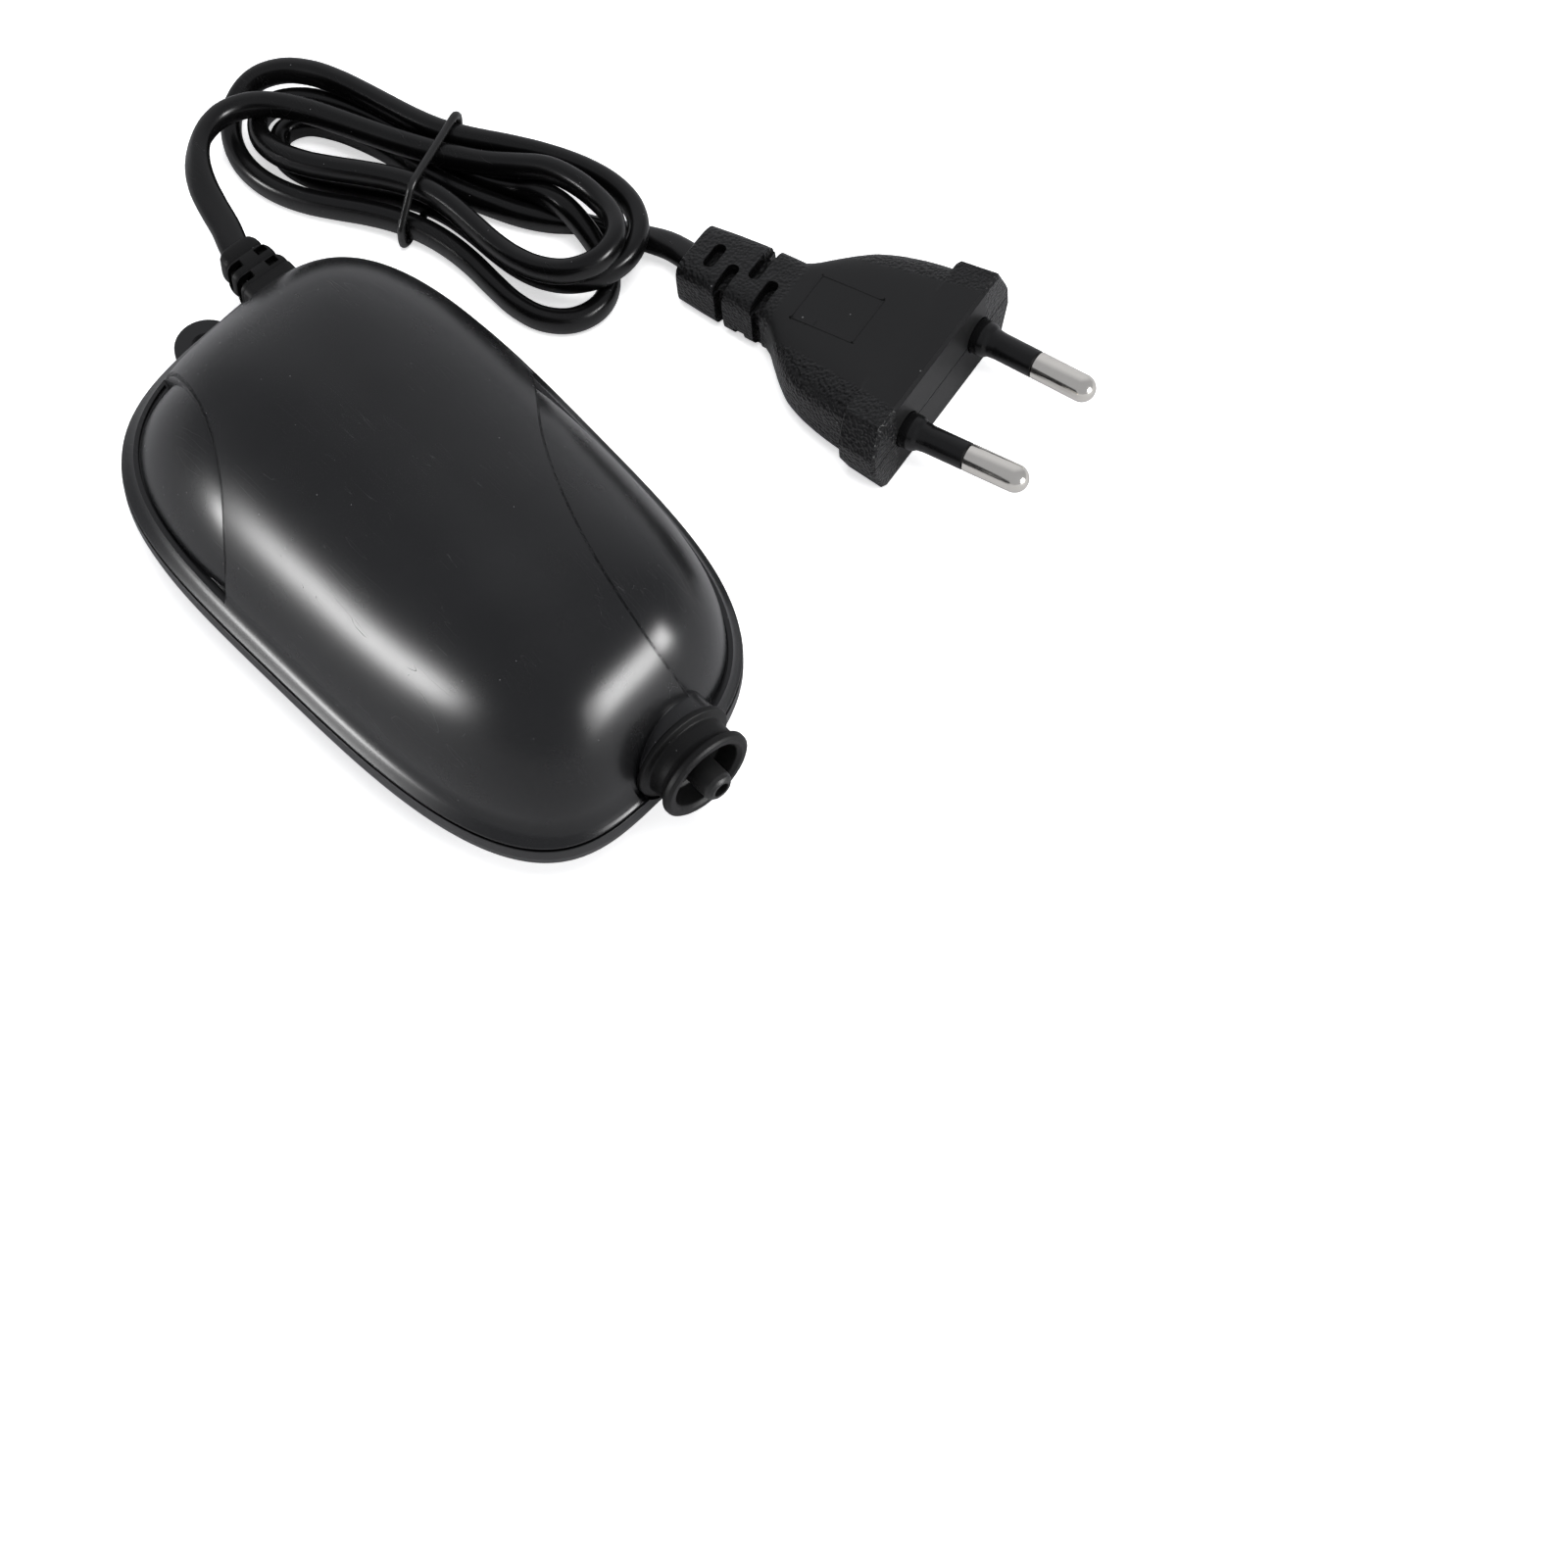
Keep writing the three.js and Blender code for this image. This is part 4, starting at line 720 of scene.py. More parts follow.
# ------------------------------------------------------------------ cover
# Inner edges of the two sickle-shaped recesses in plan (x, y)
LEFT_ARC = catmull([
    (-31.5, 9.0), (-28.4, 9.9), (-26.2, 10.8), (-25.2, 11.6), (-23.9, 13.0), (-21.3, 16.0),
    (-19.2, 19.1), (-17.0, 23.1), (-15.4, 27.2), (-14.0, 32.3), (-12.4, 38.5), (-10.6, 44.5),
    (-8.5, 51.0)], 160)
RIGHT_ARC = catmull([
    (31.5, 16.5), (28.2, 12.8), (23.8, 6.7), (19.3, -0.1), (14.6, -7.0), (11.2, -13.4),
    (8.8, -19.2), (6.7, -25.6), (5.2, -32.4), (4.8, -37.6), (5.2, -41.2), (6.4, -43.9),
    (8.6, -45.6), (12.5, -49.5)], 160)


def line_distance(x, y, line):
    d = np.full(x.shape, 1e9)
    for a, b in zip(line[:-1], line[1:]):
        ab = b - a
        t = np.clip(((x - a[0]) * ab[0] + (y - a[1]) * ab[1]) / (ab @ ab), 0, 1)
        d = np.minimum(d, np.hypot(x - a[0] - t * ab[0], y - a[1] - t * ab[1]))
    return d


def cover_outer():
    """Rows from the parting plane up the sloping skirt and over the crown."""
    base = crown(ANGLES, 1.0)
    rows = [ring(ANGLES, 0.28, COVER_Z), ring(ANGLES, 0.08, PARTING_Z + 0.28),
            ring(ANGLES, 0.12, PARTING_Z + 0.50)]
    start = ring(ANGLES, 0.38, PARTING_Z + 0.78)
    rows += [start * (1 - k) + base * k for k in np.linspace(0, 1, 9)[:-1]]
    crease = len(rows)
    P = np.concatenate([rows, crown_rows()])
    # soften the crease where the skirt meets the crown
    run = np.r_[0, np.cumsum(np.linalg.norm(np.diff(P, axis=0), axis=2).mean(1))]
    run -= run[crease]
    weight = np.clip(1 - np.abs(run[1:-1]) / 1.3, 0, 1)[:, None, None]
    for _ in range(60):
        P[1:-1] += 0.5 * weight * ((P[:-2] + P[2:]) / 2 - P[1:-1])
    return P


def scoop_depth(x, y, arc, extra, reach, rear_start, rear_run):
    """Recess depth: deepest along the arc and towards its rear end, shallow away from it."""
    d = line_distance(x, y, arc)
    rear = 0.40 * ease((y - rear_start) / rear_run) * np.exp(-d / 6.0)
    return 0.38 + extra * np.exp(-d / reach) + rear


def recess_floor():
    """Solid whose upper surface is the floor of both recesses."""
    rows = crown_rows()
    x, y = rows[..., 0], rows[..., 1]
    right = scoop_depth(x, y, RIGHT_ARC, extra=0.85, reach=4.5, rear_start=-6.0, rear_run=16.0)
    left = scoop_depth(x, y, LEFT_ARC, extra=0.90, reach=4.0, rear_start=24.0, rear_run=14.0)
    depth = np.where(x > -2.0, right, left)
    P = rows - grid_normals(rows) * depth[..., None]
    base = P[0].copy()
    base[:, 2] = CROWN_Z
    low = base.copy()
    low[:, 2] = PARTING_Z - 3
    return closed_stack(np.concatenate([[low], [base], P[1:]]))


def sickle(arc, side, z0, z1):
    """Everything outward of an arc; side is -1 for left, 1 for right."""
    far = [(side * 60, arc[-1][1]), (side * 60, arc[0][1])]
    return prism(list(map(tuple, arc)) + far, z0, z1)


def edge_cove(arc, radius):
    """Slim round bar along the top edge of a recess, to relieve the corner."""
    z = crown_z(arc[:, 0], arc[:, 1])
    path = catmull(np.c_[arc, z][z > CROWN_Z + 0.4][::6], 260)
    tangent = normalised(np.gradient(path, axis=0))
    across = normalised(np.cross(tangent, [0.3, 0.2, 0.93]))
    t = np.linspace(0, 2 * pi, 14, endpoint=False)
    return closed_stack(sweep(path, across, np.cross(across, tangent),
                              np.cos(t), np.sin(t), radius))


def crown_ring(inset, z):
    x, y = crown_plan(ANGLES[::2], inset)
    return np.stack([x, y, np.full(len(x), z)], -1)


def cut_recess(cover, floor_solid, arc, side):
    tool = make("tool", *sickle(arc, side, 10.28, 45.0), smooth=False)
    boolean(tool, [make("lean", *floor_solid, smooth=False)])
    boolean(cover, [tool, edge_cove(arc, 0.36)])
    # narrow groove just inside the skirt
    groove = make("band", *closed_stack([crown_ring(0.30, 9.75), crown_ring(0.22, 10.6)]),
                  smooth=False)
    boolean(groove, [closed_stack([crown_ring(0.72, 9.5), crown_ring(0.80, 10.9)])])
    shifted = arc + np.array([side * 0.25, 0.0])
    boolean(groove, [sickle(shifted, side, 9.6, 10.7)], "INTERSECT")
    boolean(cover, [groove])


def outlet_bore():
    return cylinder(6.2, 36, 70, axis="-y", at=OUTLET)


def outlet_clearance(radius):
    """Clears everything in front of the boss face."""
    return cylinder(radius, OUTLET_FACE, 70, axis="-y", at=OUTLET)


def boot_opening():
    return boot_bar(8.8, 6.4, 36, 58, 1.4)


def build_cover():
    cover = make("cover", *closed_stack(cover_outer()))
    floor_solid = recess_floor()
    for arc, side in ((LEFT_ARC, -1), (RIGHT_ARC, 1)):
        cut_recess(cover, floor_solid, arc, side)
    boss = [(0, 38.0), (6.95, 38.0), (6.95, OUTLET_FACE), (6.3, OUTLET_FACE), (0, OUTLET_FACE)]
    boolean(cover, [lathe(fillet(boss, [0, 0, 0.35, 0, 0]), 96, "-y", OUTLET)], "UNION")
    t = ANGLES[::4]
    hollow = [ring(t, 1.8, 5.0), ring(t, 2.0, 9.2)]
    hollow += [crown(t, rho, 2.4) for rho in (1.0, 0.99, 0.97, 0.93, 0.87, 0.78, 0.64, 0.4)]
    boolean(cover, [box(-60, 60, -80, 80, -20, COVER_Z), closed_stack(hollow)])
    boolean(cover, [outlet_bore(), outlet_clearance(8.2),
                    cylinder(6.85, 36, 44.7, axis="-y", at=OUTLET), boot_opening()])
    dress(cover, gloss, 28)
    place(cover, "upper_casing")


build_cover()

# ------------------------------------------------------------------ lower casing
# Outer wall (inset, z, corner radius), from the underside to the parting plane
TRAY_WALL = np.array([
    (7.4, 0.4, 0), (3.6, 0.75, 3), (1.45, 2.0, 3), (0.35, 4.0, 3), (0.0, 5.7, 1.5),
    (0.0, 7.66, 0.06), (0.10, 7.70, 0.03), (0.30, 7.30, 0), (0.62, 7.28, 0), (0.70, 7.85, 0)])
TRAY_CAVITY = ((9.0, 2.2), (5.6, 2.2), (3.0, 3.6), (1.8, 6.0), (1.8, 12.0))     # (inset, z)
TAB_X, TAB_Y = -0.2, 49.7               # centre of the round tab at the rear
CORNER_HOLES = [(-19.5, -30.5), (18.5, -33.0), (-17.5, 36.0), (21.0, 35.5)]


def build_tray():
    wall = fillet(TRAY_WALL[:, :2], TRAY_WALL[:, 2], 6)
    sections = [(14.0, 0.4)] + wall + [(1.7, 7.85)]
    tray = make("tray", *closed_stack([ring(ANGLES, inset, z) for inset, z in sections]))
    boolean(tray, [closed_stack([ring(ANGLES[::4], inset, z) for inset, z in TRAY_CAVITY])])
    neck = box(TAB_X - 4.52, TAB_X + 4.52, 44.4, TAB_Y, 0.82, 2.38)
    tab = fillet([(0, 0.8), (4.55, 0.8), (4.55, 2.4), (0, 2.4)], [0, 0.35, 0.35, 0], 5)
    pad = prism(rounded_rect(24, 34, 1.2), 0.0, 1.0)
    boolean(tray, [neck, lathe(tab, 72, "z", (TAB_X, TAB_Y, 0)), pad], "UNION")
    cuts = [cylinder(1.9, -2, 5, 48, at=(TAB_X, 49.9, 0)),
            outlet_bore(), outlet_clearance(7.65), boot_opening()]
    cuts += [cylinder(2.1, -1, 4, 32, at=(x, y, 0)) for x, y in FEET]
    cuts += [cylinder(2.7, -1, 4, 40, at=(x, y, 0)) for x, y in CORNER_HOLES]
    for i in range(5):
        verts, faces = prism(rounded_rect(8.0, 1.4, 0.69), -1, 4)
        cuts.append((verts + np.array([18.0, -8 + 4 * i, 0]), faces))
    boolean(tray, cuts)
    dress(tray, satin, 28)
    place(tray, "lower_casing")


build_tray()

# ------------------------------------------------------------------ feet and outlet grommet
# Foot profile (radius, z, corner radius), with a shallow ring groove underneath
FOOT = np.array([
    (0, -2.5, 0), (3.1, -2.5, .1), (3.1, -2.2, .1), (3.5, -2.2, .1), (3.5, -2.5, .1),
    (4.15, -2.5, .3), (4.55, -2.0, .4), (4.8, 0.15, .25), (1.85, 0.15, 0), (1.8, 1.9, .3),
    (0, 1.9, 0)])
# Grommet profile (radius, distance along -y, corner radius), closed
GROMMET = np.array([
    (3.6, 43.4, 0), (6.6, 43.4, .3), (6.6, 44.4, .2), (5.9, 44.4, 0), (5.9, 46.98, 0),
    (7.5, 46.98, .22), (7.45, 47.75, .3), (6.25, 48.05, .35), (6.2, 50.3, 1.0),
    (6.45, 50.9, .6), (6.98, 51.5, .5), (6.95, 52.25, .35), (6.5, 52.6, .3), (5.75, 52.6, .3),
    (5.2, 52.1, .4), (5.08, 49.3, .4), (4.6, 48.9, .3), (2.6, 48.9, .2), (2.5, 47.4, 0),
    (3.6, 47.4, 0), (3.6, 43.4, 0)])

for i, (x, y) in enumerate(FEET, 1):
    shape = lathe(fillet(FOOT[:, :2], FOOT[:, 2], 4), 72, "z", (x, y, 0))
    foot = make("rubber_foot_%d" % i, *shape, angle=40, material=rubber)
    place(foot, "foot_%d" % i)

shape = lathe(fillet(GROMMET[:, :2], GROMMET[:, 2], 5), 120, "-y", OUTLET)
grommet = make("grommet", *shape, angle=50, material=rubber)
place(grommet, "outlet_grommet")

# ------------------------------------------------------------------ strain relief
# Scalloped segments (start y, end y, half width at start, half width at end)
LOBES = [(48.3, 50.55, 4.1, 3.95), (50.55, 53.25, 3.75, 3.55), (53.25, 55.6, 3.3, 2.95)]
# Windows (x0, x1, z0, z1) from the boot axis; each has a half-turned twin
WINDOWS = [(1.15, 2.85, 1.4, 5), (-6.0, -1.25, 1, 5), (-6.0, -3.0, -1.8, 5)]
WINDOW_YS, WINDOW_HALF = (49.75, 52.25), 0.62


def lobe(y0, y1, w0, w1, height, n=9):
    """One segment of the boot, bulging between its ends."""
    rows = []
    for k in range(n + 1):
        t = k / n
        bulge = sin(pi * t) ** 0.55
        half = w0 * (1 - t) + w1 * t
        section = np.array(rounded_rect(2 * (half - 0.42 + 0.42 * bulge),
                                        height - 0.5 + 0.5 * bulge, 1.25, 6))
        rows.append(np.stack([section[:, 0] + BOOT_X, np.full(len(section), y0 + (y1 - y0) * t),
                              section[:, 1] + PARTING_Z], -1))
    verts, faces = closed_stack(rows)
    return verts, reversed_faces(faces)


def build_boot():
    boot = make("boot", *boot_bar(8.2, 5.8, 42.3, 48.4), smooth=False)
    lobes = [lobe(y0 - 0.08, y1 + 0.08, w0, w1, 5.7 - 0.12 * k)
             for k, (y0, y1, w0, w1) in enumerate(LOBES)]
    boolean(boot, [boot_bar(10.0, 6.4, 41.5, 42.5)] + lobes, "UNION")
    cuts = []
    for y in WINDOW_YS:
        for x0, x1, z0, z1 in WINDOWS:
            for turn in (1, -1):
                xs = sorted((BOOT_X + turn * x0, BOOT_X + turn * x1))
                zs = sorted((PARTING_Z + turn * z0, PARTING_Z + turn * z1))
                cuts.append(box(*xs, y - WINDOW_HALF, y + WINDOW_HALF, *zs))
    boolean(boot, cuts + [boot_bar(4.8, 3.7, 40, 60, 1.6)])
    dress(boot, rubber, 35)
    edge_bevel(boot, 0.14)
    place(boot, "strain_relief")


build_boot()

# ------------------------------------------------------------------ mains cord and its tie
CORD_RINGS = 1500
CORD_WIDTH, CORD_HEIGHT = 3.15, 4.3     # two cores side by side
TIE_RINGS, TIE_RADIUS = 200, 0.58


def build_cord():
    path = catmull(CORD, CORD_RINGS)
    for _ in range(6):
        path[1:-1] = (path[:-2] + 2 * path[1:-1] + path[2:]) / 4
    tangent = normalised(np.gradient(path, axis=0))
    level = normalised(np.cross([0, 0, 1.0], tangent))
    upright = np.cross(tangent, level)
    # a quarter turn at both ends
    share = np.linspace(0, 1, CORD_RINGS)
    twist = pi / 2 * (1 - ease((share - 0.06) / 0.05)) + pi / 2 * ease((share - 0.925) / 0.045)
    c, s = np.cos(twist)[:, None], np.sin(twist)[:, None]
    # oval with a faint waist
    phi = np.linspace(0, 2 * pi, 26, endpoint=False)
    xs = CORD_WIDTH / 2 * signed_power(np.cos(phi), 0.88) * (1 - 0.045 * np.cos(phi) ** 8)
    ys = CORD_HEIGHT / 2 * signed_power(np.sin(phi), 0.92)
    # slimmer inside the strain relief
    inside = ease((54.9 - path[:, 1]) / 0.9)
    slim = (1 - 0.26 * inside * (np.arange(CORD_RINGS) < 220))[:, None, None]
    rings = sweep(path, level * c + upright * s, upright * c - level * s, xs, ys, slim)
    cord = make("mains_cord", *closed_stack(rings), material=cord_pvc)
    place(cord, "power_cord")


def build_tie():
    path = catmull(TIE, TIE_RINGS, closed=True)
    axis = normalised(np.cross(path[100] - path[0], path[50] - path[0]))
    tangent = normalised(np.roll(path, -1, 0) - np.roll(path, 1, 0))
    t = np.linspace(0, 2 * pi, 16, endpoint=False)
    rings = sweep(path, np.cross(axis, tangent), axis[None, :], np.cos(t), np.sin(t), TIE_RADIUS)
    tie = make("bundle_tie", rings.reshape(-1, 3), grid_faces(TIE_RINGS, 16, closed=True),
               material=tie_plastic)
    place(tie, "cord_tie")


build_cord()
build_tie()

# ------------------------------------------------------------------ plug
# In plug space +x points along the pins, the pin face is x = 0 and z is the thickness.
# Stations (x, half width, half thickness, squareness)
PLUG_STATIONS = np.array([
    (-26.4, 5.3, 4.35, 4.0), (-25.6, 5.9, 4.75, 4.2), (-24.3, 6.7, 4.95, 4.2),
    (-22.5, 8.4, 5.15, 4.2), (-20.0, 10.7, 5.4, 4.2), (-17.5, 12.5, 5.65, 4.2),
    (-14.0, 13.8, 5.95, 4.4), (-10.5, 14.5, 6.25, 4.8), (-7.5, 14.8, 6.5, 5.2),
    (-4.0, 14.9, 6.7, 5.6), (-0.6, 14.9, 6.7, 5.6)])
TAIL_STATIONS = np.array([
    (-41.0, 4.6, 3.75, 4.5), (-40.65, 4.95, 4.1, 5.0), (-24.8, 5.75, 4.85, 5.0),
    (-24.5, 5.45, 4.55, 4.5)])
# Flange steps (x0, x1, half width at x0 and x1, half thickness at x0 and x1)
FLANGE = [(-6.4, -6.0, 16.6, 17.1, 6.40, 6.58), (-6.05, -0.5, 17.1, 17.65, 6.58, 6.86),
          (-0.55, 0.0, 17.65, 17.25, 6.86, 6.5)]
# Tail slots (x, y0, y1) on the upper face; the lower face has them mirrored in y
TAIL_SLOTS = [(-37.0, -2.6, 1.8), (-33.4, -9, -0.4), (-30.2, -1.4, 9), (-27.0, -9, -0.2)]
# Nicks (x0, x1, y0, y1, z0, z1) that join the slots round the edges
TAIL_NICKS = [(-34.1, -32.7, -9, -3.9, -9, 9), (-27.7, -26.3, -9, -4.6, -9, 9),
              (-30.9, -29.5, 4.1, 9, -9, 9), (-37.6, -36.4, 4.2, 9, -9, -2.5)]
# Thin raised frame on the broad faces
RAISED_X0, RAISED_X1, RAISED_Y0, RAISED_Y1, RAISED_W = -21.9, -11.6, -4.6, 4.0, 0.25
PIN_OFFSET = 9.3                        # pin root from the plug's middle
PIN_LENGTH, PIN_LEAN = 19.0, 0.55       # the pins lean towards each other

cy, sy = cos(PLUG_YAW), sin(PLUG_YAW)
cp, sp = cos(PLUG_PITCH), sin(PLUG_PITCH)
PLUG_TURN = (np.array([[cy, -sy, 0], [sy, cy, 0], [0, 0, 1]])
             @ np.array([[cp, 0, sp], [0, 1, 0], [-sp, 0, cp]]))


def plug_to_world(verts):
    return verts @ PLUG_TURN.T + PLUG_AT


def loft(stations, n, between):
    """Superelliptic sections of n points, smoothly joined along x."""
    knots = np.r_[0, np.cumsum(np.abs(np.diff(stations[:, 0])) + 1e-3)]
    at = [np.linspace(a, b, between, endpoint=False) for a, b in zip(knots[:-1], knots[1:])]
    at = np.concatenate(at + [[knots[-1]]])
    t = np.linspace(0, 2 * pi, n, endpoint=False)
    rows = []
    for x, half, thick, exponent in zip(*(monotone(knots, col, at) for col in stations.T)):
        u, v = superellipse(t, exponent)
        rows.append(np.stack([np.full(n, x), half * u, thick * v], -1))
    return closed_stack(rows)


def flange_outline(w, h, c=1.6, chamfer=2.2):
    """Chamfered octagon with rounded corners, in (y, z)."""
    i = w - chamfer
    corners = np.array([(w, -c), (w, c), (i, h), (-i, h), (-w, c), (-w, -c), (-i, -h), (i, -h)])
    out = []
    for a, b, d in zip(np.roll(corners, 1, 0), corners, np.roll(corners, -1, 0)):
        out += fillet([(a + b) / 2, b, (b + d) / 2], 0.7, 4)[1:-1]
    return out


def frustum(x0, x1, w0, w1, h0, h1):
    verts, faces = prism_x(flange_outline(w0, h0), x0, x1)
    end, _ = prism_x(flange_outline(w1, h1), x0, x1)
    n = len(verts) // 2
    return np.vstack([verts[:n], end[n:]]), faces


def tail_slots():
    cuts = []
    for face in (1, -1):
        z0, z1 = sorted((face * 2.55, face * 9))
        for x, y0, y1 in TAIL_SLOTS:
            verts, faces = prism(rounded_rect(1.85, y1 - y0, 0.85, 6), z0, z1)
            cuts.append((verts + np.array([x, face * (y0 + y1) / 2, 0]), faces))
    return cuts + [box(*nick) for nick in TAIL_NICKS]


def on_pin_axis(verts, side):
    """Moves a shape turned about x onto a pin's leaning axis."""
    angle = -atan2(PIN_LEAN * side, PIN_LENGTH)
    c, s = cos(angle), sin(angle)
    x, y, z = verts.T
    return np.stack([x * c - y * s, x * s + y * c + side * PIN_OFFSET, z], -1)


def raised_rail(x0, x1, y0, y1, side, n=14):
    """Low rail that follows the broad face; side is 1 on the upper face, -1 on the lower."""
    xs = np.linspace(x0, x1, n)
    verts, faces = [], []
    for x, z in zip(xs, np.interp(xs, PLUG_STATIONS[:, 0], PLUG_STATIONS[:, 2]) + 0.05):
        verts += [(x, y0, z - 0.4), (x, y1, z - 0.4), (x, y1, z), (x, y0, z)]
    verts = np.array(verts)
    verts[:, 2] *= side
    for i in range(n - 1):
        for j in range(4):
            a, b = i * 4 + j, i * 4 + (j + 1) % 4
            faces.append((a, a + 4, b + 4, b) if side > 0 else (a, b, b + 4, a + 4))
    e = 4 * (n - 1)
    for cap in ((0, 1, 2, 3), (e + 3, e + 2, e + 1, e)):
        faces.append(cap[::side])
    return verts, faces


def raised_frame(side):
    x0, x1, y0, y1, w = RAISED_X0, RAISED_X1, RAISED_Y0, RAISED_Y1, RAISED_W
    rails = ((x0, x0 + w, y0, y1), (x1 - w, x1, y0, y1),
             (x0, x1, y0, y0 + w), (x0, x1, y1 - w, y1))
    return [raised_rail(*rail, side) for rail in rails]


def build_plug():
    plug = make("plug_shell", *loft(PLUG_STATIONS, 96, 5), smooth=False)
    boolean(plug, [frustum(*step) for step in FLANGE], "UNION")
    boolean(plug, [loft(TAIL_STATIONS, 72, 4)], "UNION")
    cord_bore = prism_x(rounded_rect(4.9, 3.8, 1.6, 6), -45, -24)
    boolean(plug, tail_slots() + [cord_bore])
    for side in (1, -1):
        verts, faces = cylinder(2.75, -13.6, 2, 48, "x")
        boolean(plug, [(on_pin_axis(verts, side), faces)])
    boolean(plug, raised_frame(1) + raised_frame(-1), "UNION")
    # mould line across the pin face
    boolean(plug, [box(-0.12, 1, -20, 20, -0.09, 0.09)])

    # turn the mesh into place, keeping plug-space positions for the material
    mesh = plug.data
    co = np.zeros(len(mesh.vertices) * 3)
    mesh.vertices.foreach_get("co", co)
    local = co.reshape(-1, 3) * 1000
    mesh.vertices.foreach_set("co", (plug_to_world(local) * 0.001).reshape(-1))
    mesh.update()
    attribute = mesh.attributes.new("local_mm", "FLOAT_VECTOR", "POINT")
    attribute.data.foreach_set("vector", local.reshape(-1))
    dress(plug, plug_pvc(), 32)
    place(plug, "plug_body")


# Pin profile (radius, x) up to its domed tip
PIN_RADIUS, PIN_DOME_X = 2.0, 17.0
PIN = [(0, -12.5), (1.55, -12.5), (1.55, 9.7), (1.97, 9.8), (PIN_RADIUS, 9.95),
       (PIN_RADIUS, PIN_DOME_X)]
PIN += [(PIN_RADIUS * cos(a) if a < 1.5 else 0.0, PIN_DOME_X + PIN_RADIUS * sin(a))
        for a in np.linspace(0.08, pi / 2, 14)]
# Sleeve profile (radius, x, corner radius), closed
SLEEVE = np.array([
    (1.75, -13.0, 0), (2.45, -13.0, .1), (2.6, -0.3, .2), (2.62, 1.2, .3), (2.45, 2.0, .3),
    (2.12, 2.5, .4), (2.0, 3.6, .6), (2.0, 9.55, .12), (1.75, 9.55, 0), (1.75, -13.0, 0)])


def build_pins():
    sleeve = fillet(SLEEVE[:, :2], SLEEVE[:, 2], 5)
    for k, side in ((1, 1), (2, -1)):
        for name, profile, replaced, slot in (("contact_pin_%d", PIN, "plug_pin_%d", "nickel"),
                                              ("contact_sleeve_%d", sleeve, "pin_sleeve_%d",
                                               "pvc_black")):
            verts, faces = lathe(profile, 72, "x")
            piece = make(name % k, plug_to_world(on_pin_axis(verts, side)), faces, angle=40,
                         material=SLOT_MATERIALS[slot])
            place(piece, replaced % k)


build_plug()
build_pins()

# ------------------------------------------------------------------ inner pieces
for name in ("valve_chamber", "clamp_ring", "valve_plate", "vibrating_arm", "magnet_yoke",
             "arm_magnet", "pivot_rubber", "pivot_clip", "core_laminations", "coil_bobbin",
             "coil_winding", "cord_clamp", "air_filter"):
    edge_bevel(NODES[name], 0.12)


def build_diaphragm():
    """Rubber copy of the frame's diaphragm, baked into world space; the frame's piece is hidden.
    """
    diaphragm = bpy.data.objects.new("rubber_diaphragm", NODES["diaphragm"].data.copy())
    bpy.context.scene.collection.objects.link(diaphragm)
    diaphragm.data.materials.clear()
    diaphragm.data.materials.append(rubber)
    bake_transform(diaphragm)
    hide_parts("diaphragm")


build_diaphragm()


# ------------------------------------------------------------------ floor
def pale_floor():
    """Near white with a faint glow to the camera, darker in reflections."""
    look = Look("pale_floor")
    rays = look.add("LightPath").outputs
    pale = look.mix(look.noise(3, 3, 0.5), 0.93, 0.95)
    color = look.mix(rays["Is Glossy Ray"], pale, (0.40, 0.40, 0.41))
    glow = look.add("Math", {0: rays["Is Camera Ray"], 1: 0.58}, operation="MULTIPLY")
    return look.surface(color=color, rough=0.75, spec=0.15, glow=(1, 1, 1, 1),
                        glow_strength=glow.outputs[0])


# the top lies just under the feet
floor = make("floor", *prism(rounded_rect(6000, 6000, 50, 4), -22.5, -2.505), smooth=False)
floor.data.materials.append(pale_floor())

# ------------------------------------------------------------------ world, lights, camera
scene = bpy.context.scene


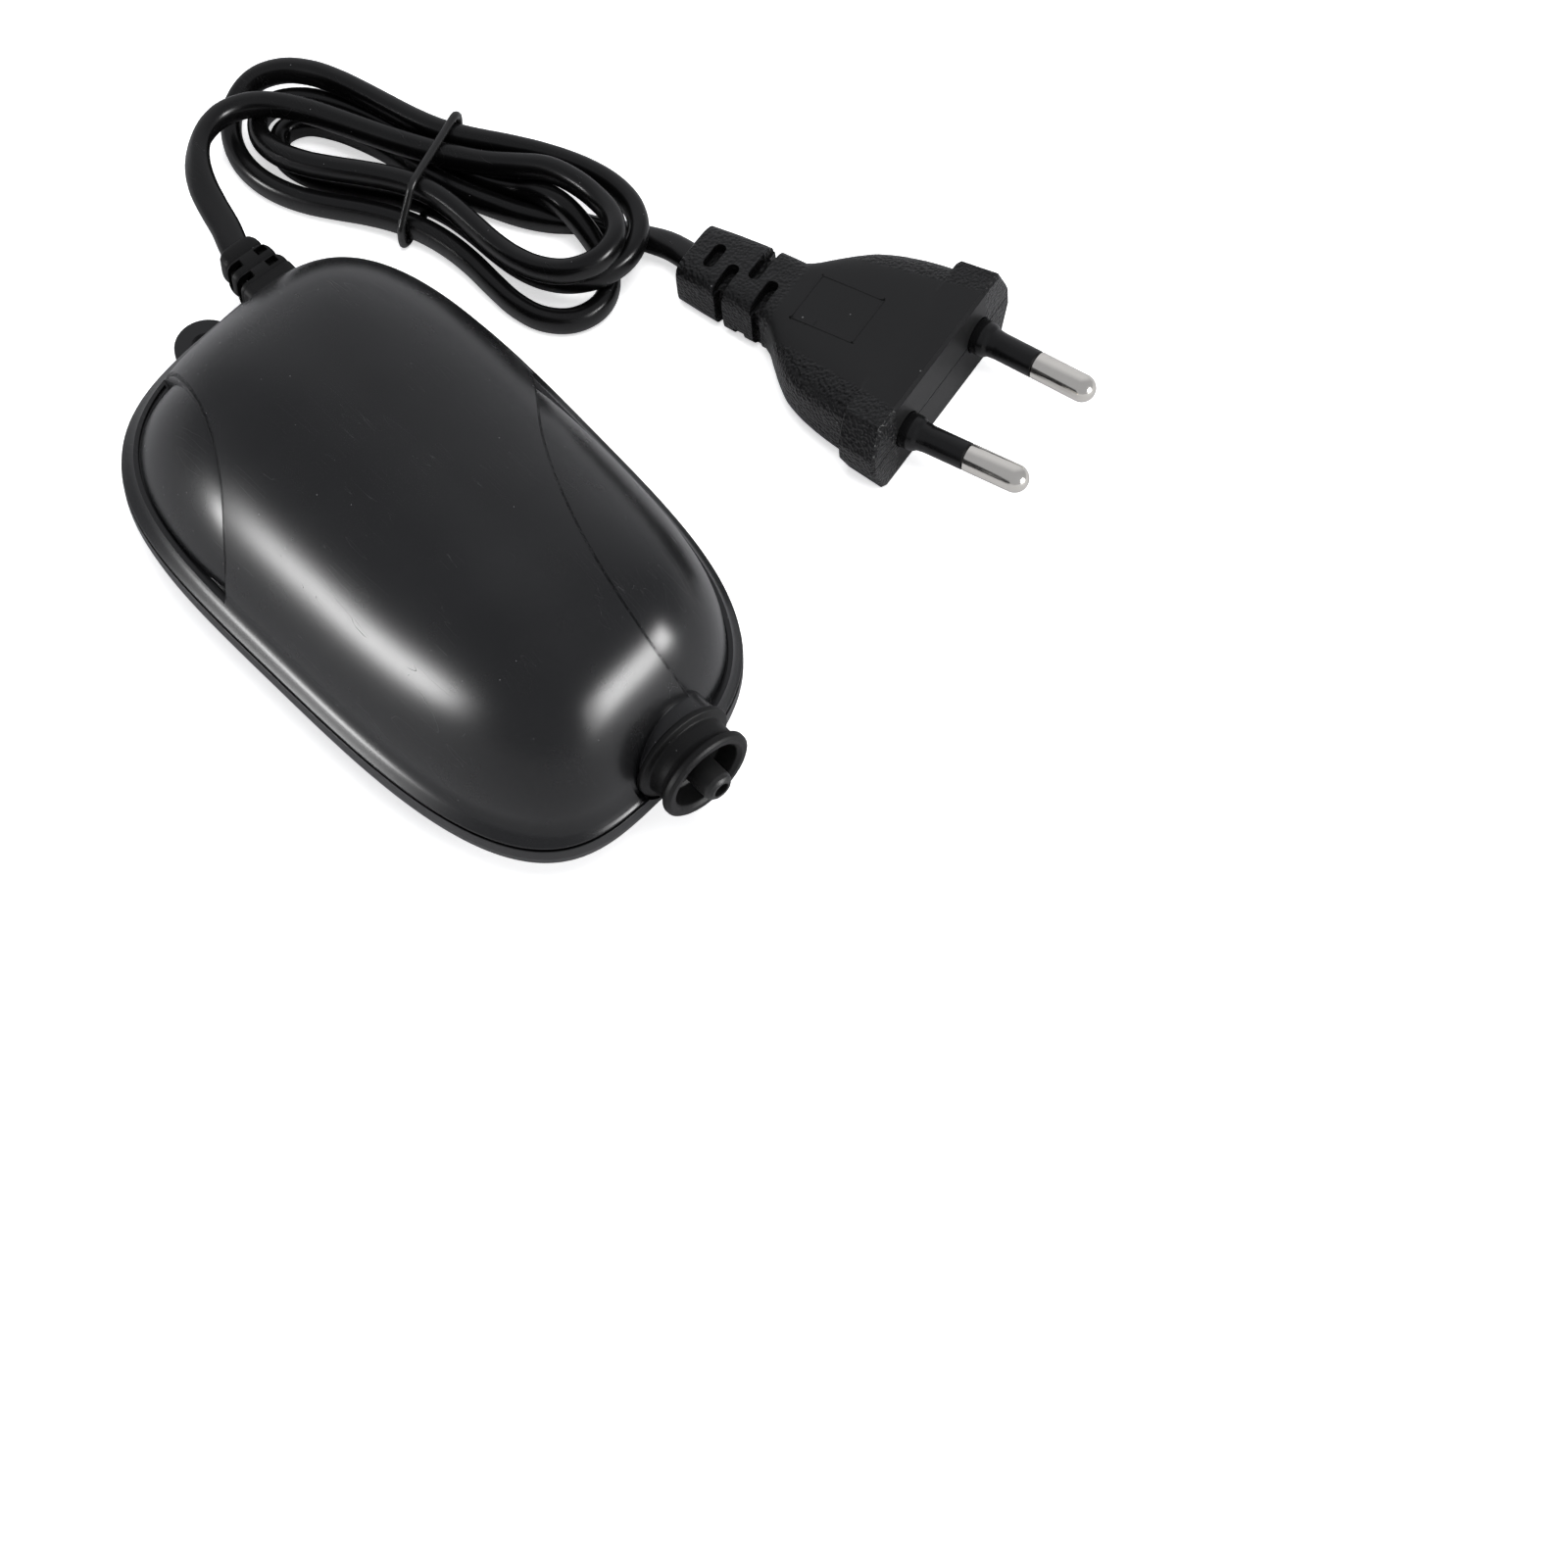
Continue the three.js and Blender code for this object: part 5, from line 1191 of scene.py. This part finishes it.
def build_world():
    """Grey sky, brighter towards one direction; near white to the camera and below."""
    world = bpy.data.worlds.new("studio")
    scene.world = world
    nodes = Nodes(world)
    output = nodes.add("OutputWorld")
    direction = nodes.add("TexCoord").outputs["Generated"]
    bright_side = Vector((0.55, 0.77, 0.33)).normalized()
    facing = nodes.add("VectorMath", {0: direction, 1: bright_side}, operation="DOT_PRODUCT")
    sky = nodes.ramp(facing.outputs["Value"],
                     (0.52, (0.375, 0.38, 0.40)), (0.90, (0.60, 0.605, 0.63)))
    # 0 above the horizon, 1 below it
    below = nodes.add("MapRange", {0: nodes.split(direction)[2], 1: 0.02, 2: -0.02}).outputs[0]
    camera_ray = nodes.add("LightPath").outputs["Is Camera Ray"]
    pale = nodes.add("Math", {0: camera_ray, 1: below}, operation="MAXIMUM").outputs[0]
    background = nodes.add("Background", {0: nodes.mix(pale, sky, 1.02), 1: 1.0})
    nodes.feed(output.inputs[0], background.outputs[0])


def aim(obj, forward):
    obj.rotation_mode = "QUATERNION"
    obj.rotation_quaternion = forward.to_track_quat("-Z", "Y")


def area(name, at, target, size, energy, glossy=True):
    """Rectangular light; places and sizes in metres, energy in watts."""
    light = bpy.data.lights.new(name, "AREA")
    light.shape = "RECTANGLE"
    light.size, light.size_y = size
    light.energy = energy
    obj = bpy.data.objects.new(name, light)
    scene.collection.objects.link(obj)
    obj.location = at
    obj.visible_camera = False
    obj.visible_glossy = glossy
    aim(obj, Vector(target) - Vector(at))


def build_camera(target, azimuth, elevation, distance):
    """Camera in metres and degrees; azimuth 0 looks from the front (-y)."""
    camera = bpy.data.cameras.new("main_camera")
    obj = bpy.data.objects.new("main_camera", camera)
    scene.collection.objects.link(obj)
    camera.sensor_width = 36.0
    camera.lens = 104.56
    camera.clip_start = 0.01
    camera.clip_end = 20
    az, el = radians(azimuth), radians(elevation)
    back = Vector((sin(az) * cos(el), -cos(az) * cos(el), sin(el)))
    obj.location = Vector(target) + back * distance
    aim(obj, -back)
    scene.camera = obj


build_world()
area("left_box", at=(-0.81, 0.32, 0.085), target=(0, 0, 0.02), size=(0.20, 0.17), energy=2.7)
area("front_box", at=(0.40, -0.84, 0.18), target=(0, -0.04, 0.02), size=(0.26, 0.28), energy=3.7)
area("front_soft", at=(0.36, -0.90, 0.22), target=(0, -0.04, 0.02), size=(0.52, 0.42), energy=3.4)
area("left_soft", at=(-0.86, 0.34, 0.12), target=(0, 0, 0.02), size=(0.36, 0.28), energy=0.9)
area("top_box", at=(0.10, -0.10, 1.35), target=(0, 0, 0), size=(0.9, 0.9), energy=17.0,
     glossy=False)
build_camera(target=(0.014036, -0.054762, 0.0), azimuth=-41.683, elevation=60.459, distance=0.600)
scene.view_settings.view_transform = "Standard"
